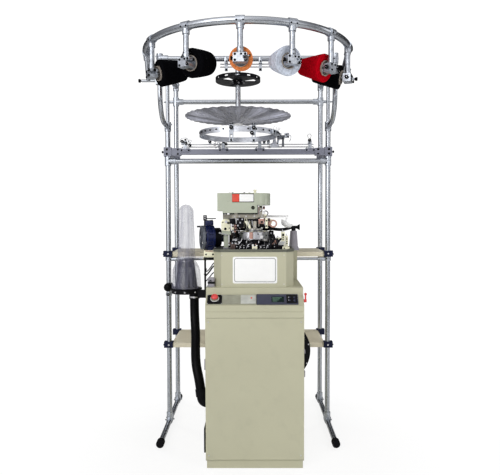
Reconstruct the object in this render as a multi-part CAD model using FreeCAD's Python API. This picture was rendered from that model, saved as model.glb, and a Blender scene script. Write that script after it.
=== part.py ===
import FreeCAD, Part
import math
import os

# Circular sock knitting machine standing in a tubular yarn creel.
# Millimetres. +Z up, +Y towards the back, origin on the floor under the needle cylinder's axis,
# which is also the middle of the cabinet's footprint.

# ---------------------------------------------------------------- driving dimensions: machine
SHEET = 2.5                     # sheet steel of cabinet, neck and covers
CABINET_W = 560.0
CABINET_D = 600.0
PLINTH_H = 46.0
PLINTH_SETBACK = 6.0
FRONT_TOP_Z = 932.0             # where the front turns into the sloped panel
SLOPE_RUN = 73.0
SLOPE_RISE = 60.0
DECK_RISE = 35.0                # deck above the sloped panel's upper edge
REAR_BOX_D = 100.0
REAR_BOX_IN = 40.0              # rear box in from the cabinet's left side
REAR_BOX_H = 188.0
COVER_DROP = 70.0               # cover's and groove's upper edges below the panel
GROOVE_DROP = 35.0
GROOVE_H = 4.0
SEAM = 3.0                      # gap around the key field of the control panel
COVER_GAP = 1.5                 # seam over and under the front cover
COVER_LOW = 4.0                 # front cover's lower edge above the plinth
FOLD_L = 14.0                   # depth of the sheet's folded edges
FLANGE_INSET = 2.0              # frame behind the front cover
FLANGE_W = 54.0
FLANGE_LOW = 58.0
FLANGE_HIGH = 52.0
CABLE_HOLE_D = 120.0
LOUVRE_COUNT = 8
LOUVRE_W = 180.0
LOUVRE_H = 9.0
LOUVRE_X = -110.0
LOUVRE_Z = 640.0
LOUVRE_PITCH = 24.0

NECK_W = 468.0
NECK_D = 396.0
NECK_CHAMFER_X = 46.0
NECK_CHAMFER_Y = 55.0
NECK_X = -5.0
NECK_Y = -15.0
NECK_H = 204.0
TRAY_H = 16.0
TRAY_LIP = 3.0
TRAY_EDGE = 6.0                 # width of the tray's raised rim
TRAY_FLOOR_RISE = 10.0

PANEL_BLACK_W = 86.0
PANEL_INSET_W = 104.0
PANEL_GREY_W = 90.0
PANEL_DISPLAY_W = 236.0
PANEL_L = 72.0
PANEL_T = 4.0
PANEL_IN = 9.0                  # panel's left edge in from the cabinet's side
PANEL_START = 10.0              # panel's lower edge, up the slope
PANEL_FIELD_DEPTH = 1.5
PANEL_FIELD_EDGE = 4.0
DISPLAY_OVER = 3.0              # display case proud of the panel
SCREEN_X = 84.0                 # from the display's left edge
SCREEN_W = 74.0
SCREEN_L = 44.0
KEY_D = 10.0
KEY_X = 104.0                   # from the screen's left edge
KEY_PITCH_X = 26.0
KEY_PITCH_Y = 24.0
STOP_D = 40.0
STOP_H = 16.0
STOP_STEM_D = 22.0
STOP_TRAVEL = 5.0
STOP_COLLAR_D = 46.0
STOP_COLLAR_H = 8.0
STOP_ALONG = 52.0               # from the slope's lower edge
LEVER_RISE = 23.0               # lever's pivot above the front's upper edge
LEVER_IN = 38.0                 # lever behind the cabinet's front
LEVER_L = 34.0
LEVER_D = 9.0
LEVER_BOSS_D = 18.0
LEVER_BOSS_L = 16.0
LEVER_OUT = 10.0                # stem's axis out from the cabinet's side
LEVER_KNOB_D = 16.0

CYLINDER_D = 100.0
CYLINDER_BORE = 84.0
CYLINDER_RISE = 120.0           # needle cylinder's upper edge above the neck
FOOT_D = 112.0                  # flange at the cylinder's lower end, running in the cam box
FOOT_H = 12.0
NEEDLE_COUNT = 84
NEEDLE_SLOT_W = 1.2
NEEDLE_SLOT_H = 22.0
NEEDLE_SLOT_DEPTH = 2.5
CAP_D = 182.0                   # bright ring round the needle cylinder
CAP_BORE = 106.0
CAP_H = 46.0
CAP_DROP = 6.0                  # below the cylinder's upper edge
CAM_D = 212.0
CAM_STATIONS = 9
CAM_PITCH = 32.0                # degrees between the stations
CAM_FLANGE_W = 16.0
CAM_FLANGE_H = 18.0
STATION_W = 40.0                # slide housing on the cam ring
STATION_OUT = 26.0
STATION_DROP = 12.0             # its top below the sinker cap
PUSHER_W = 26.0                 # push rod's guide in front of the housing
PUSHER_OUT = 36.0
PUSHER_L = 16.0
PUSHER_DROP = 20.0
PUSHER_ROD_D = 9.0
PUSHER_ROD_OUT = 42.0
SELECTORS = [(132, 158, -42, 65), (164, 186, -40, 101), (190, 206, -36, 77)]  # x, x, y, height
SELECTOR_D = 32.0
SELECTOR_WINDOW_H = 16.0
SELECTOR_WINDOW_DROP = 10.0
RUNNING = 0.05                  # radial clearance of a running fit
CLEAR = 0.3                     # gap between parts that touch without fit

HEAD_R = 98.0
HEAD_LEFT_X = -221.0
HEAD_H = 120.0
HEAD_GAP = 30.0                 # cover's lower edge above the head plate's underside
HEAD_LEFT_STEP = 13.0
HEAD_NOSE_STEP = 48.0
HEAD_NOSE_X = 18.0
HEAD_STEP_X = -190.0
COVER_POST_H = 51.0             # posts on the head plate that carry the cover's inner feet
COVER_POST_XS = [-120.0, 30.0]
COVER_POST_W = 18.0
COVER_POST_D = 14.0
COVER_POST_Y = 56.0
COVER_FOOT_T = 8.0
COVER_HOLE_D = 20.0             # round hole in the cover's front
COVER_HOLE_X = -8.0
COVER_HOLE_RISE = 32.0
COVER_SCREW_XS = [-150.0, -30.0]
COVER_SCREW_D = 12.0
COVER_SCREW_H = 5.0
HEAD_PLATE_RISE = 76.0          # above the needle cylinder
HEAD_PLATE_T = 22.0
HEAD_PLATE_LEFT = -134.0
HEAD_PLATE_RIGHT = 72.0
HEAD_PLATE_HALF = 72.0
BEARING_WALL = 16.0             # dial bearing in the head plate
BEARING_GAP = 14.0              # above the dial
HINGE_X = -172.0
HINGE_DROP = 22.0               # hinge pin below the head plate
HINGE_PIN_D = 16.0
HINGE_EAR_T = 12.0
HINGE_LUG_W = 56.0
HINGE_R = 20.0
COLUMN_POST_W = 28.0            # left column that carries the hinge
COLUMN_POST_D = 48.0
HINGE_LUG_LEFT = 27.0           # hinge ears, left and right of the pin
HINGE_LUG_RIGHT = 28.0
HINGE_LUG_TOP = 18.0
HINGE_LUG_LOW = 65.0
SADDLE_H = 20.0
EAR_HOLE_D = 14.0
EAR_HOLE_DROP = 40.0
DIAL_D = 104.0
DIAL_H = 9.0
DIAL_GAP = 4.0                  # above the needle cylinder
DIAL_SHAFT_D = 26.0
DIAL_TEETH = 42
DIAL_TOOTH_W = 2.2
DIAL_TOOTH_DEPTH = 5.0
DIAL_HUB_H = 10.0
HOOD_X = 190.0                  # thread hood, on a bar from the head plate
HOOD_Y = 50.0
HOOD_BAR_X = 52.0
HOOD_BAR_D = 13.0
HOOD_PROFILE = [(0, 0), (22, 3), (34, 14), (40, 34), (36, 34), (30, 16), (20, 7), (0, 4)]
HOOD_LEAN = 28.0
HOOD_DROP = 66.0                # cup's lower end below the bar
HOOD_STEM_X = 14.0
HOOD_STEM_D = 12.0
HOOD_KNOB_D = 18.0
FINGER_COUNT = 4
FINGER_T = 5.0
FINGER_PITCH = 17.0
FINGER_X0 = -66.0
FINGER_PIN_Y = -80.0
FINGER_PIN_DROP = 23.0          # below the head plate
FINGER_PIN_D = 8.0
FINGER_EAR_T = 8.0              # ears under the head plate that hold the fingers' pin
FINGER_EAR_OUT = 14.0           # first ear left of the first finger
FINGER_BAR_Y = -60.0            # back face of the bar that joins the ears
FINGER_BAR_D = 12.0
FINGER_BAR_H = 8.0

MOTOR_D = 150.0
MOTOR_L = 54.0
MOTOR_RISE = 75.0               # motor's axis above the neck's top
MOTOR_END_X = -256.0
MOTOR_Y = 62.0
GEAR_D = 112.0                  # smaller gear end of the motor, over the tray
GEAR_L = 44.0
MOTOR_YAW = 15.0                # its free end is turned towards the front
MOTOR_FINS = 20
FIN_T = 3.0
FIN_H = 10.0
MOTOR_SHIELD_L = 12.0
MOTOR_FOOT_W = 76.0
MOTOR_FOOT_H = 16.0
GEAR_NOSE_L = 22.0
MOTOR_NOSE_D = 44.0
MOTOR_NOSE_L = 4.0
CONSOLE_W = 110.0               # cast console under the motor
CONSOLE_LEFT_X = -310.0
CONSOLE_Y = -6.0
CONSOLE_H = 46.0
CONSOLE_WALL = 6.0
CONSOLE_PLATE_T = 12.0
WHEEL_D = 150.0
WHEEL_RIM = 13.0
WHEEL_T = 16.0
WHEEL_SPOKES = 3
MOTOR_SHAFT_D = 18.0
WHEEL_GAP = 8.0                 # hand wheel in front of the motor's end
WHEEL_HUB_D = 36.0
WHEEL_SPOKE_W = 18.0
WHEEL_SPOKE_INSET = 3.0
STUB_L = 26.0                   # hand wheel's shaft inside the motor

COLUMN_X = 260.0                # rear column with the suction arm
COLUMN_IN = 50.0                # in from the cabinet's back
COLUMN_H = 127.0
COLUMN_FOOT_D = 76.0
COLUMN_FOOT_H = 6.0
COLUMN_FLARE_D = 58.0
COLUMN_FLARE_H = 26.0
COLUMN_TOP_D = 44.0
NOZZLE_RISE = 24.0
NOZZLE_D = 42.0
NOZZLE_L = 18.0
NOZZLE_REACH = 34.0             # right of the column's axis
SUCTION_D = 20.0
SUCTION_POINTS = [(96, 92, 4), (160, 130, 14), (206, 206, 12)]  # x, y, below the nozzle

# ---------------------------------------------------------------- driving dimensions: creel
CREEL_X = -41.0
CREEL_HALF = 547.0
TUBE_D = 34.0
TUBE_WALL = 2.5
THIN_D = 25.0
FLOOR_TUBE_Z = 25.0
CAP_RUBBER_D = 50.0
CAP_RUBBER_L = 45.0
FRONT_Y = 400.0
BACK_Y = 827.0
FLOOR_FRONT_Y = -21.0
FLOOR_BACK_Y = 905.0
STEP_RISE = 30.0                # front uprights are thinner from here above the arms
ARM_DROP = 370.0                # arms' level run below the top bars
ARM_Y = 85.0
ARM_D = 30.0
ARM_BEND_R = 160.0
TOP_Z = 2420.0
CROSS_FRONT_DROP = 604.0
CROSS_BACK_DROP = 115.0
BEAM_RISE = 62.0                # beam above the front crossbar
BEAM_H = 36.0
BEAM_D = 30.0
FIT_WALL = 5.0                  # wall of the cast tube joints
FIT_GAP = 0.25                  # between a tube and its joint
FIT_L = 62.0
SOCKET_L = 46.0
STUB_D = 12.0
STUB_REACH = 75.0               # stub bars out from the rear uprights
BOLT_D = 11.0                   # clamp bolts of the cast joints
BOLT_OUT = 7.0

RING_R = 625.0
RING_Y = 100.0
RING_RISE = 25.0                # overhead tube above the top bars
RING_D = 40.0
RING_FIT_L = 48.0
RING_LEFT_DEG = -88.0           # from the front, towards +X
RING_RIGHT_DEG = 79.5
POST_DEGS = [-85.5, 77.0]       # where the ring's two end posts hold it
POST_FEET = [(-70.0, 0.0), (34.0, -30.0)]   # posts' feet from the arms, x and y
POST_FOOT_DROP = 135.0          # below the top bars
POST_BAR_REACH = 112.0
POST_BAR_D = 18.0
POST_CLAMP_HALF = 26.0
POST_CLAMP_FRONT = 16.0
POST_CLAMP_H = 44.0
HANGER_DEGS = [-60.5, -31.0, -3.0, 22.5, 48.0, 72.0]
HANGER_D = 30.0
HANGER_L = 193.0                # overhead tube to the middle of the cone's block
HANGER_BLOCK = 46.0
HANGER_BLOCK_W = 74.0           # across, with the cone's clamp screw at its left
HANGER_SLOT = 22.0
HANGER_COLLAR_D = 36.0
HANGER_COLLAR_L = 34.0
HANGER_FLANGE_D = 40.0
HANGER_FLANGE_T = 5.0
CONE_TILT = 12.0
CONE_L = 170.0
CORE_L = 192.0
CORE_BASE_D = 84.0
CORE_NOSE_D = 44.0
CORE_WALL = 3.0
CORE_OUT = 8.0
SPINDLE_D = 16.0
SPINDLE_L = 130.0               # past the paper tube's large end
PLUG_IN = 26.0                  # plug inside the paper tube
PLUG_L = 12.0
CONE_START = 34.0               # from the hanger's axis to the paper tube's end
CONES = {                       # base radius, nose radius, base fillet, nose fillet
    "black_left": (76.0, 58.0, 10.0, 22.0),
    "black_front": (78.0, 66.0, 10.0, 26.0),
    "orange": (62.0, 54.0, 8.0, 18.0),
    "grey": (78.0, 50.0, 8.0, 16.0),
    "red": (77.0, 45.0, 8.0, 14.0),
    "black_right": (70.0, 50.0, 8.0, 16.0),
}

SHAFT_X = -100.0
SHAFT_D = 32.0
SHAFT_DROP = 428.0
PLATE_WHEEL_D = 280.0
PLATE_WHEEL_H = 24.0
PLATE_WHEEL_DROP = 143.0
PLATE_WHEEL_RIM = 9.0
PLATE_SLOTS = 12
PLATE_SLOT_W = 26.0
PLATE_SLOT_H = 9.0
PLATE_SLOT_DROP = 7.0
PLATE_WEB_T = 6.0
PLATE_HUB_D = 60.0
PLATE_HUB_OVER = 12.0
PLATE_WINDOWS = 3
WINDOW_EDGE = 26.0              # windows' outer edge in from the rim's outside
WINDOW_IN_R = 44.0
DISH_D = 660.0
DISH_RIM_DROP = 360.0
DISH_DEPTH = 42.0
DISH_T = 2.5
DISH_PLEATS = 36
DISH_PLEAT_H = 5.0
DISH_HUB_D = 56.0
DISH_HUB_OVER = 12.0            # hub above and below the dish
DISH_HUB_UNDER = 18.0
DISH_HUB_EDGE = 8.0

GUIDE_R = 246.0
GUIDE_H = 33.0
GUIDE_T = 8.0
GUIDE_Y = 134.0
GUIDE_RISE = 44.0               # guide ring above the beam
GUIDE_STUD_D = 7.0
GUIDE_STUD_L = 16.0
GUIDE_STUD_DEGS = [150, 163, 176, 189, 202]
GUIDE_STUD_RISE = 24.0
HOLDER_XS = [-136.0, -3.0]      # square brackets on the guide ring's near side
HOLDER_W = 24.0
HOLDER_DROP = 60.0
HOLDER_OVER = 16.0
HOLDER_FRONT = 14.0
HOLDER_WINDOW = 12.0
HOLDER_WINDOW_LOW = 44.0
HOLDER_WINDOW_HIGH = 18.0
BRACKET_XS = [-468.0, -207.0, 40.0, 383.0]
BRACKET_BASE_W = 60.0
BRACKET_BASE_D = 40.0
BRACKET_BASE_T = 5.0
POST_W = 22.0
POST_D = 18.0
POST_H = 58.0
GUIDE_ARM_W = 18.0              # arms from the beam to the guide ring
GUIDE_ARM_LOW = 4.0
GUIDE_ARM_HIGH = 22.0
ROD_RISE = 16.0                 # lower thin rod above the beam
ROD_STEP = 17.0
ROD_D = 8.0
ROD_OVER = 24.0                 # rods past the outer brackets
CHORD_ROD_DROP = 34.0           # thin rods under the chord bar
CHORD_ROD_ENDS = [-211.0, 124.0]
CHORD_CLAMP_XS = [-173.0, 40.0]
CHORD_CLAMP_W = 20.0
CHORD_CLAMP_D = 18.0
CHORD_CLAMP_L = 24.0            # below the lower rod
BEAM_END_GAP = 4.0
SIDE_CLAMP_OVER = 9.0           # dark clamps round the front uprights
SIDE_CLAMP_D = 52.0
SIDE_CLAMP_H = 62.0
SIDE_EAR_L = 90.0
SIDE_EAR_D = 42.0
SIDE_EAR_H = 50.0
SIDE_BAR = 24.0                 # dark bars from front to back
REAR_CLAMP = 52.0
REAR_CLAMP_H = 48.0
KNOB_D = 24.0
KNOB_L = 14.0
KNOB_END_L = 22.0
SIDE_KNOB_D = 18.0
SMALL_KNOB_D = 16.0

SHELF_UPPER_Z = 1194.0
SHELF_LOWER_Z = 567.0
SHELF_LIP = 32.0
SHELF_OVER = 14.0               # past the uprights' axes, to the front and to the back
SHELF_BAR_DROP = 48.0
SHELF_BAR_FIT = 26.0
SHELF_BAR_D = 20.0
SHELF_GAP = 3.0                 # between the shelves' ends and the uprights
SHELF_CLAMP_OUT = 34.0
SHELF_CLAMP_IN = 27.0
SHELF_CLAMP_D = 48.0
SHELF_CLAMP_OVER = 8.0
SHELF_BOLT_D = 16.0
SHELF_BOLT_L = 6.0
SHELF_BOLT_DROP = 12.0

RECEIVER_OUT = 170.0            # receiver's axis out from the cabinet's left side
RECEIVER_Y = 260.0
RECEIVER_BASE_Z = 965.0
RECEIVER_H = 553.0
RECEIVER_KNOB_D = 58.0
RECEIVER_WALL = 3.0
RECEIVER_PROFILE = [(99, 20), (92, 120), (84, 143), (66, 175), (60, 220), (57, 335), (51, 475)]
INNER_CONE_H = 187.0
INNER_CONE_R = 74.0
INNER_CONE_TOP_R = 50.0
INNER_CONE_WALL = 2.5
SUMP_D = 124.0                  # sunk floor of the base inside the dome
SUMP_H = 12.0
THROAT_DROP = 6.0
STAY_FROM = 80.0                # stay to the cabinet, from the receiver's axis
STAY_W = 36.0
STAY_H = 50.0
STAY_FLANGE_W = 72.0
STAY_FLANGE_H = 64.0
STAY_FLANGE_T = 8.0
THREAD_POST_OUT = 42.0          # slim black post beside the dome
THREAD_POST_IN = 42.0
THREAD_POST_DROP = 78.0
THREAD_POST_D = 13.0
THREAD_FINGER_D = 6.0
THREAD_FINGER_L = 72.0
BASE_R = 100.0
BASE_H = 34.0
HOSE_D = 60.0
HOSE_WALL = 3.0
HOSE_RUN = [(118, 260, 893), (118, 260, 800), (111, 236, 712), (103, 186, 636),
            (99, 122, 570), (90, 66, 495), (66, 36, 408), (54, 30, 322)]    # out from the cabinet, y, z
ELBOW_Z = 272.0
ELBOW_R = 34.0
CUFF_L = 34.0
CUFF_OVER = 9.0
ELBOW_FLANGE_OVER = 26.0
ELBOW_FLANGE_T = 9.0

DUCT_Y = 130.0                  # flat duct up the cabinet's left side
DUCT_W = 46.0
DUCT_T = 34.0
DUCT_LOW_Z = 300.0
DUCT_TOP_DROP = 42.0            # below the front's upper edge
DUCT_EDGE_R = 14.0

FAN_X = 165.0
FAN_Z = 521.0
FAN_R = 200.0
FAN_W = 80.0
FAN_INLET_R = 95.0
FAN_BLADES = 12
FAN_SHAFT_D = 20.0
FAN_BEARING_D = 46.0
FAN_BEARING_L = 26.0
FAN_OUTLET_W = 120.0
FAN_OUTLET_H = 270.0
FAN_GAP = 28.0                  # impeller's plate behind the casing's front
FAN_PLATE_R = 165.0
FAN_PLATE_T = 3.0
FAN_HUB_D = 56.0
FAN_HUB_L = 30.0
BLADE_IN_R = 70.0
BLADE_OUT_R = 162.0
BLADE_W = 42.0
BLADE_T = 3.0

# ---------------------------------------------------------------- derived places
CREEL_LEFT = CREEL_X - CREEL_HALF
CREEL_RIGHT = CREEL_X + CREEL_HALF
SIDES = [CREEL_LEFT, CREEL_RIGHT]
ARM_Z = TOP_Z - ARM_DROP
STEP_Z = ARM_Z + STEP_RISE
CROSS_FRONT_Z = TOP_Z - CROSS_FRONT_DROP
CROSS_BACK_Z = TOP_Z - CROSS_BACK_DROP
BEAM_Z = CROSS_FRONT_Z + BEAM_RISE
RING_Z = TOP_Z + RING_RISE
HANGER_BLOCK_Z = RING_Z - HANGER_L
SHAFT_LOW_Z = TOP_Z - SHAFT_DROP
PLATE_WHEEL_Z = TOP_Z - PLATE_WHEEL_DROP
DISH_RIM_Z = TOP_Z - DISH_RIM_DROP
DISH_HUB_Z = DISH_RIM_Z - DISH_DEPTH
SHELF_BAR_Z = SHELF_UPPER_Z - SHELF_BAR_DROP
CABINET_X = CABINET_W / 2
CABINET_FRONT = -CABINET_D / 2
CABINET_BACK = CABINET_D / 2
REAR_BOX_Y = CABINET_BACK - REAR_BOX_D
REAR_BOX_LEFT = -CABINET_X + REAR_BOX_IN
PANEL_LEFT_X = -CABINET_X + PANEL_IN
SLOPE_BACK_Y = CABINET_FRONT + SLOPE_RUN
SLOPE_TOP_Z = FRONT_TOP_Z + SLOPE_RISE
DECK_Z = SLOPE_TOP_Z + DECK_RISE
REAR_BOX_TOP_Z = DECK_Z + REAR_BOX_H
COVER_TOP_Z = FRONT_TOP_Z - COVER_DROP
GROOVE_Z = FRONT_TOP_Z - GROOVE_DROP
LEVER_Y = CABINET_FRONT + LEVER_IN
LEVER_Z = FRONT_TOP_Z + LEVER_RISE
NECK_TOP_Z = DECK_Z + NECK_H
CYLINDER_TOP_Z = NECK_TOP_Z + CYLINDER_RISE
CAP_Z1 = CYLINDER_TOP_Z - CAP_DROP
CAP_Z0 = CAP_Z1 - CAP_H
HEAD_PLATE_Z0 = CYLINDER_TOP_Z + HEAD_PLATE_RISE
HEAD_PLATE_Z1 = HEAD_PLATE_Z0 + HEAD_PLATE_T
COVER_SEAT_Z = HEAD_PLATE_Z1 + COVER_POST_H
HEAD_LOW_Z = HEAD_PLATE_Z0 + HEAD_GAP
HEAD_TOP_Z = HEAD_LOW_Z + HEAD_H
HEAD_LEFT_LOW_Z = HEAD_LOW_Z + HEAD_LEFT_STEP
HEAD_NOSE_LOW_Z = HEAD_LOW_Z + HEAD_NOSE_STEP
HINGE_Z = HEAD_PLATE_Z0 - HINGE_DROP
FINGER_PIN_Z = HEAD_PLATE_Z0 - FINGER_PIN_DROP
HOOD_BAR_Z = (HEAD_PLATE_Z0 + HEAD_PLATE_Z1) / 2
MOTOR_Z = NECK_TOP_Z + MOTOR_RISE
SLOPE_DEG = math.degrees(math.atan2(SLOPE_RISE, SLOPE_RUN))
TRAY_Z = NECK_TOP_Z + TRAY_H
TRAY_FLOOR = NECK_TOP_Z + TRAY_FLOOR_RISE
FOOT_Z = TRAY_FLOOR + 8.0
SEAT = TUBE_D / 2 + 1.0         # a joined tube starts this far from the other tube's axis
DIAL_Z = CYLINDER_TOP_Z + DIAL_GAP
BEAM_LOW = BEAM_Z - BEAM_H / 2
BEAM_TOP = BEAM_Z + BEAM_H / 2
GUIDE_Z = BEAM_TOP + GUIDE_RISE
GUIDE_TOP = GUIDE_Z + GUIDE_H
ROD_LOWER_Z = BEAM_TOP + ROD_RISE
CHORD_ROD_ZS = [TOP_Z - CHORD_ROD_DROP, TOP_Z - CHORD_ROD_DROP - ROD_STEP]
COLUMN_Y = CABINET_BACK - COLUMN_IN
COLUMN_TOP_Z = REAR_BOX_TOP_Z + COLUMN_H
NOZZLE_Z = COLUMN_TOP_Z + NOZZLE_RISE
RECEIVER_X = -CABINET_X - RECEIVER_OUT
RECEIVER_TOP_Z = RECEIVER_BASE_Z + RECEIVER_H
HOSE_POINTS = [(-CABINET_X - out, y, z) for out, y, z in HOSE_RUN]
COLLAR_X = HOSE_POINTS[0][0]
THREAD_POST_X = -CABINET_X - THREAD_POST_OUT
DUCT_TOP_Z = FRONT_TOP_Z - DUCT_TOP_DROP

UP = FreeCAD.Vector(0, 0, 1)
RIGHT = FreeCAD.Vector(1, 0, 0)
BACK = FreeCAD.Vector(0, 1, 0)


# ---------------------------------------------------------------- building blocks
def at(x, y, z):
    return FreeCAD.Vector(x, y, z)


def block(x0, x1, y0, y1, z0, z1):
    return Part.makeBox(x1 - x0, y1 - y0, z1 - z0, at(x0, y0, z0))


def centred(x, y, z, width, depth, height):
    return block(x - width / 2, x + width / 2, y - depth / 2, y + depth / 2, z - height / 2, z + height / 2)


def rod(start, end, diameter):
    line = end - start
    return Part.makeCylinder(diameter / 2, line.Length, start, line)


def pipe(start, end, diameter, wall):
    return rod(start, end, diameter).cut(rod(start, end, diameter - 2 * wall))


def outline(points, normal_shift):
    """Solid between a closed polygon and its copy moved by normal_shift."""
    corners = [at(*p) for p in points]
    face = Part.Face(Part.makePolygon(corners + [corners[0]]))
    return face.extrude(normal_shift)


def plan(points, z0, z1):
    return outline([(x, y, z0) for x, y in points], UP * (z1 - z0))


def side_profile(points, x0, x1):
    return outline([(x0, y, z) for y, z in points], RIGHT * (x1 - x0))


def front_profile(points, y0, y1):
    return outline([(x, y0, z) for x, z in points], BACK * (y1 - y0))


def turned(points, x=0.0, y=0.0):
    """Solid of revolution about a vertical axis through x, y, from (radius, height) points."""
    corners = [at(r, 0, z) for r, z in points]
    face = Part.Face(Part.makePolygon(corners + [corners[0]]))
    solid = face.revolve(at(0, 0, 0), UP, 360)
    solid.translate(at(x, y, 0))
    return solid


def ring(r_out, r_in, z0, z1, x=0.0, y=0.0):
    outer = Part.makeCylinder(r_out, z1 - z0, at(x, y, z0))
    return outer.cut(Part.makeCylinder(r_in, z1 - z0, at(x, y, z0)))


def joined(shapes):
    return shapes[0].multiFuse(shapes[1:]).removeSplitter()


def group(shapes):
    return Part.makeCompound(shapes)


def spun(shape, degrees, x=0.0, y=0.0):
    copy = shape.copy()
    copy.rotate(at(x, y, 0), UP, degrees)
    return copy


def placed(shape, origin, yaw, tilt=0.0):
    """Local +X is tilted up by tilt, then turned about the vertical by yaw, then moved."""
    copy = shape.copy()
    copy.rotate(at(0, 0, 0), BACK, -tilt)
    copy.rotate(at(0, 0, 0), UP, yaw)
    copy.translate(origin)
    return copy


def neck_plan(shrink):
    """Corners of the neck's eight-sided plan, each side moved in by shrink."""
    half_w = NECK_W / 2 - shrink
    half_d = NECK_D / 2 - shrink
    quarter = [(half_w, half_d - NECK_CHAMFER_Y), (half_w - NECK_CHAMFER_X, half_d)]
    corners = [(NECK_X + sx * px, NECK_Y + sy * py)
               for sx, sy, pts in [(1, 1, quarter), (-1, 1, quarter[::-1]),
                                   (-1, -1, quarter), (1, -1, quarter[::-1])]
               for px, py in pts]
    return corners


def arc_radius(before, corner, after):
    run_in = corner - before
    run_out = after - corner
    half_turn = run_in.getAngle(run_out) / 2
    return 0.45 * min(run_in.Length, run_out.Length) / math.tan(half_turn)


def route(points, radius=None):
    """Wire of straight runs joined by tangent arcs; radius None makes each as large as fits."""
    knots = [at(*p) for p in points]
    edges = []
    here = knots[0]
    for before, corner, after in zip(knots, knots[1:], knots[2:]):
        run_in = (corner - before).normalize()
        run_out = (after - corner).normalize()
        half_turn = run_in.getAngle(run_out) / 2
        r = radius or arc_radius(before, corner, after)
        reach = r * math.tan(half_turn)
        arc_start = corner - run_in * reach
        arc_end = corner + run_out * reach
        bisector = (run_out - run_in).normalize()
        middle = corner + bisector * (r / math.cos(half_turn) - r)
        edges.append(Part.LineSegment(here, arc_start).toShape())
        edges.append(Part.Arc(arc_start, middle, arc_end).toShape())
        here = arc_end
    edges.append(Part.LineSegment(here, knots[-1]).toShape())
    return Part.Wire(edges)


def swept(wire, diameter):
    start = wire.Edges[0].valueAt(wire.Edges[0].FirstParameter)
    heading = wire.Edges[0].tangentAt(wire.Edges[0].FirstParameter)
    circle = Part.Wire(Part.makeCircle(diameter / 2, start, heading))
    return wire.makePipeShell([circle], True, False)


def bent_pipe(wire, diameter, wall):
    return swept(wire, diameter).cut(swept(wire, diameter - 2 * wall))


# ---------------------------------------------------------------- creel frame
def tube_joint(centre, through, through_d, sockets, length=FIT_L):
    """Cast joint: a sleeve round the through tube and one socket for each tube that ends in it."""
    half = through * (length / 2)
    body = [rod(centre - half, centre + half, through_d + 2 * FIT_WALL)]
    holes = [rod(centre - half * 2, centre + half * 2, through_d + 2 * FIT_GAP)]
    for way, diameter in sockets:
        reach = through_d / 2 + SOCKET_L - TUBE_D / 4
        body.append(rod(centre, centre + way * reach, diameter + 2 * FIT_WALL))
        holes.append(rod(centre, centre + way * reach, diameter + 2 * FIT_GAP))
    side = through.cross(sockets[0][0])
    bolt_at = centre + through * (length / 4)
    body.append(rod(bolt_at, bolt_at + side * (through_d / 2 + FIT_WALL + BOLT_OUT), BOLT_D))
    return joined(body).cut(holes[0].multiFuse(holes[1:]))


def inward(x):
    return RIGHT if x < CREEL_X else -RIGHT


def floor_tubes():
    start = FLOOR_FRONT_Y + CAP_RUBBER_L / 3
    end = FLOOR_BACK_Y - CAP_RUBBER_L / 3
    return group([pipe(at(x, start, FLOOR_TUBE_Z), at(x, end, FLOOR_TUBE_Z), TUBE_D, TUBE_WALL)
                  for x in SIDES])


def tube_caps():
    caps = []
    for x in SIDES:
        for y, way in ((FLOOR_FRONT_Y, 1), (FLOOR_BACK_Y, -1)):
            tip = at(x, y, FLOOR_TUBE_Z)
            cap = rod(tip, tip + BACK * way * CAP_RUBBER_L, CAP_RUBBER_D)
            seat = tip + BACK * way * CAP_RUBBER_L / 3
            bore = rod(seat, tip + BACK * way * CAP_RUBBER_L, TUBE_D + 2 * FIT_GAP)
            caps.append(cap.cut(bore))
    return group(caps)


def front_uprights():
    tubes = []
    for x in SIDES:
        lower = rod(at(x, FRONT_Y, FLOOR_TUBE_Z + SEAT), at(x, FRONT_Y, STEP_Z), TUBE_D)
        upper = rod(at(x, FRONT_Y, STEP_Z), at(x, FRONT_Y, TOP_Z - SEAT), THIN_D)
        bore = rod(at(x, FRONT_Y, 0), at(x, FRONT_Y, TOP_Z), THIN_D - 2 * TUBE_WALL)
        wide_bore = rod(at(x, FRONT_Y, 0), at(x, FRONT_Y, STEP_Z - TUBE_WALL), TUBE_D - 2 * TUBE_WALL)
        tubes.append(joined([lower, upper]).cut(bore).cut(wide_bore))
    return group(tubes)


def back_uprights():
    return group([pipe(at(x, BACK_Y, FLOOR_TUBE_Z + SEAT), at(x, BACK_Y, TOP_Z + FIT_L / 2),
                       TUBE_D, TUBE_WALL) for x in SIDES])


def crossbars():
    left = CREEL_LEFT + SEAT
    right = CREEL_RIGHT - SEAT
    bars = [pipe(at(left, y, z), at(right, y, z), d, TUBE_WALL)
            for y, z, d in ((FRONT_Y, CROSS_FRONT_Z, TUBE_D), (BACK_Y, CROSS_BACK_Z, TUBE_D),
                            (ARM_Y, TOP_Z, TUBE_D), (FRONT_Y, SHELF_BAR_Z, SHELF_BAR_D))]
    for x in SIDES:
        out = -inward(x)
        bars.append(rod(at(x, BACK_Y, CROSS_BACK_Z) + out * SEAT,
                        at(x, BACK_Y, CROSS_BACK_Z) + out * (SEAT + STUB_REACH), STUB_D))
        bars.append(pipe(at(x, ARM_Y + SEAT, TOP_Z), at(x, BACK_Y - SEAT, TOP_Z), TUBE_D, TUBE_WALL))
    return group(bars)


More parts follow.
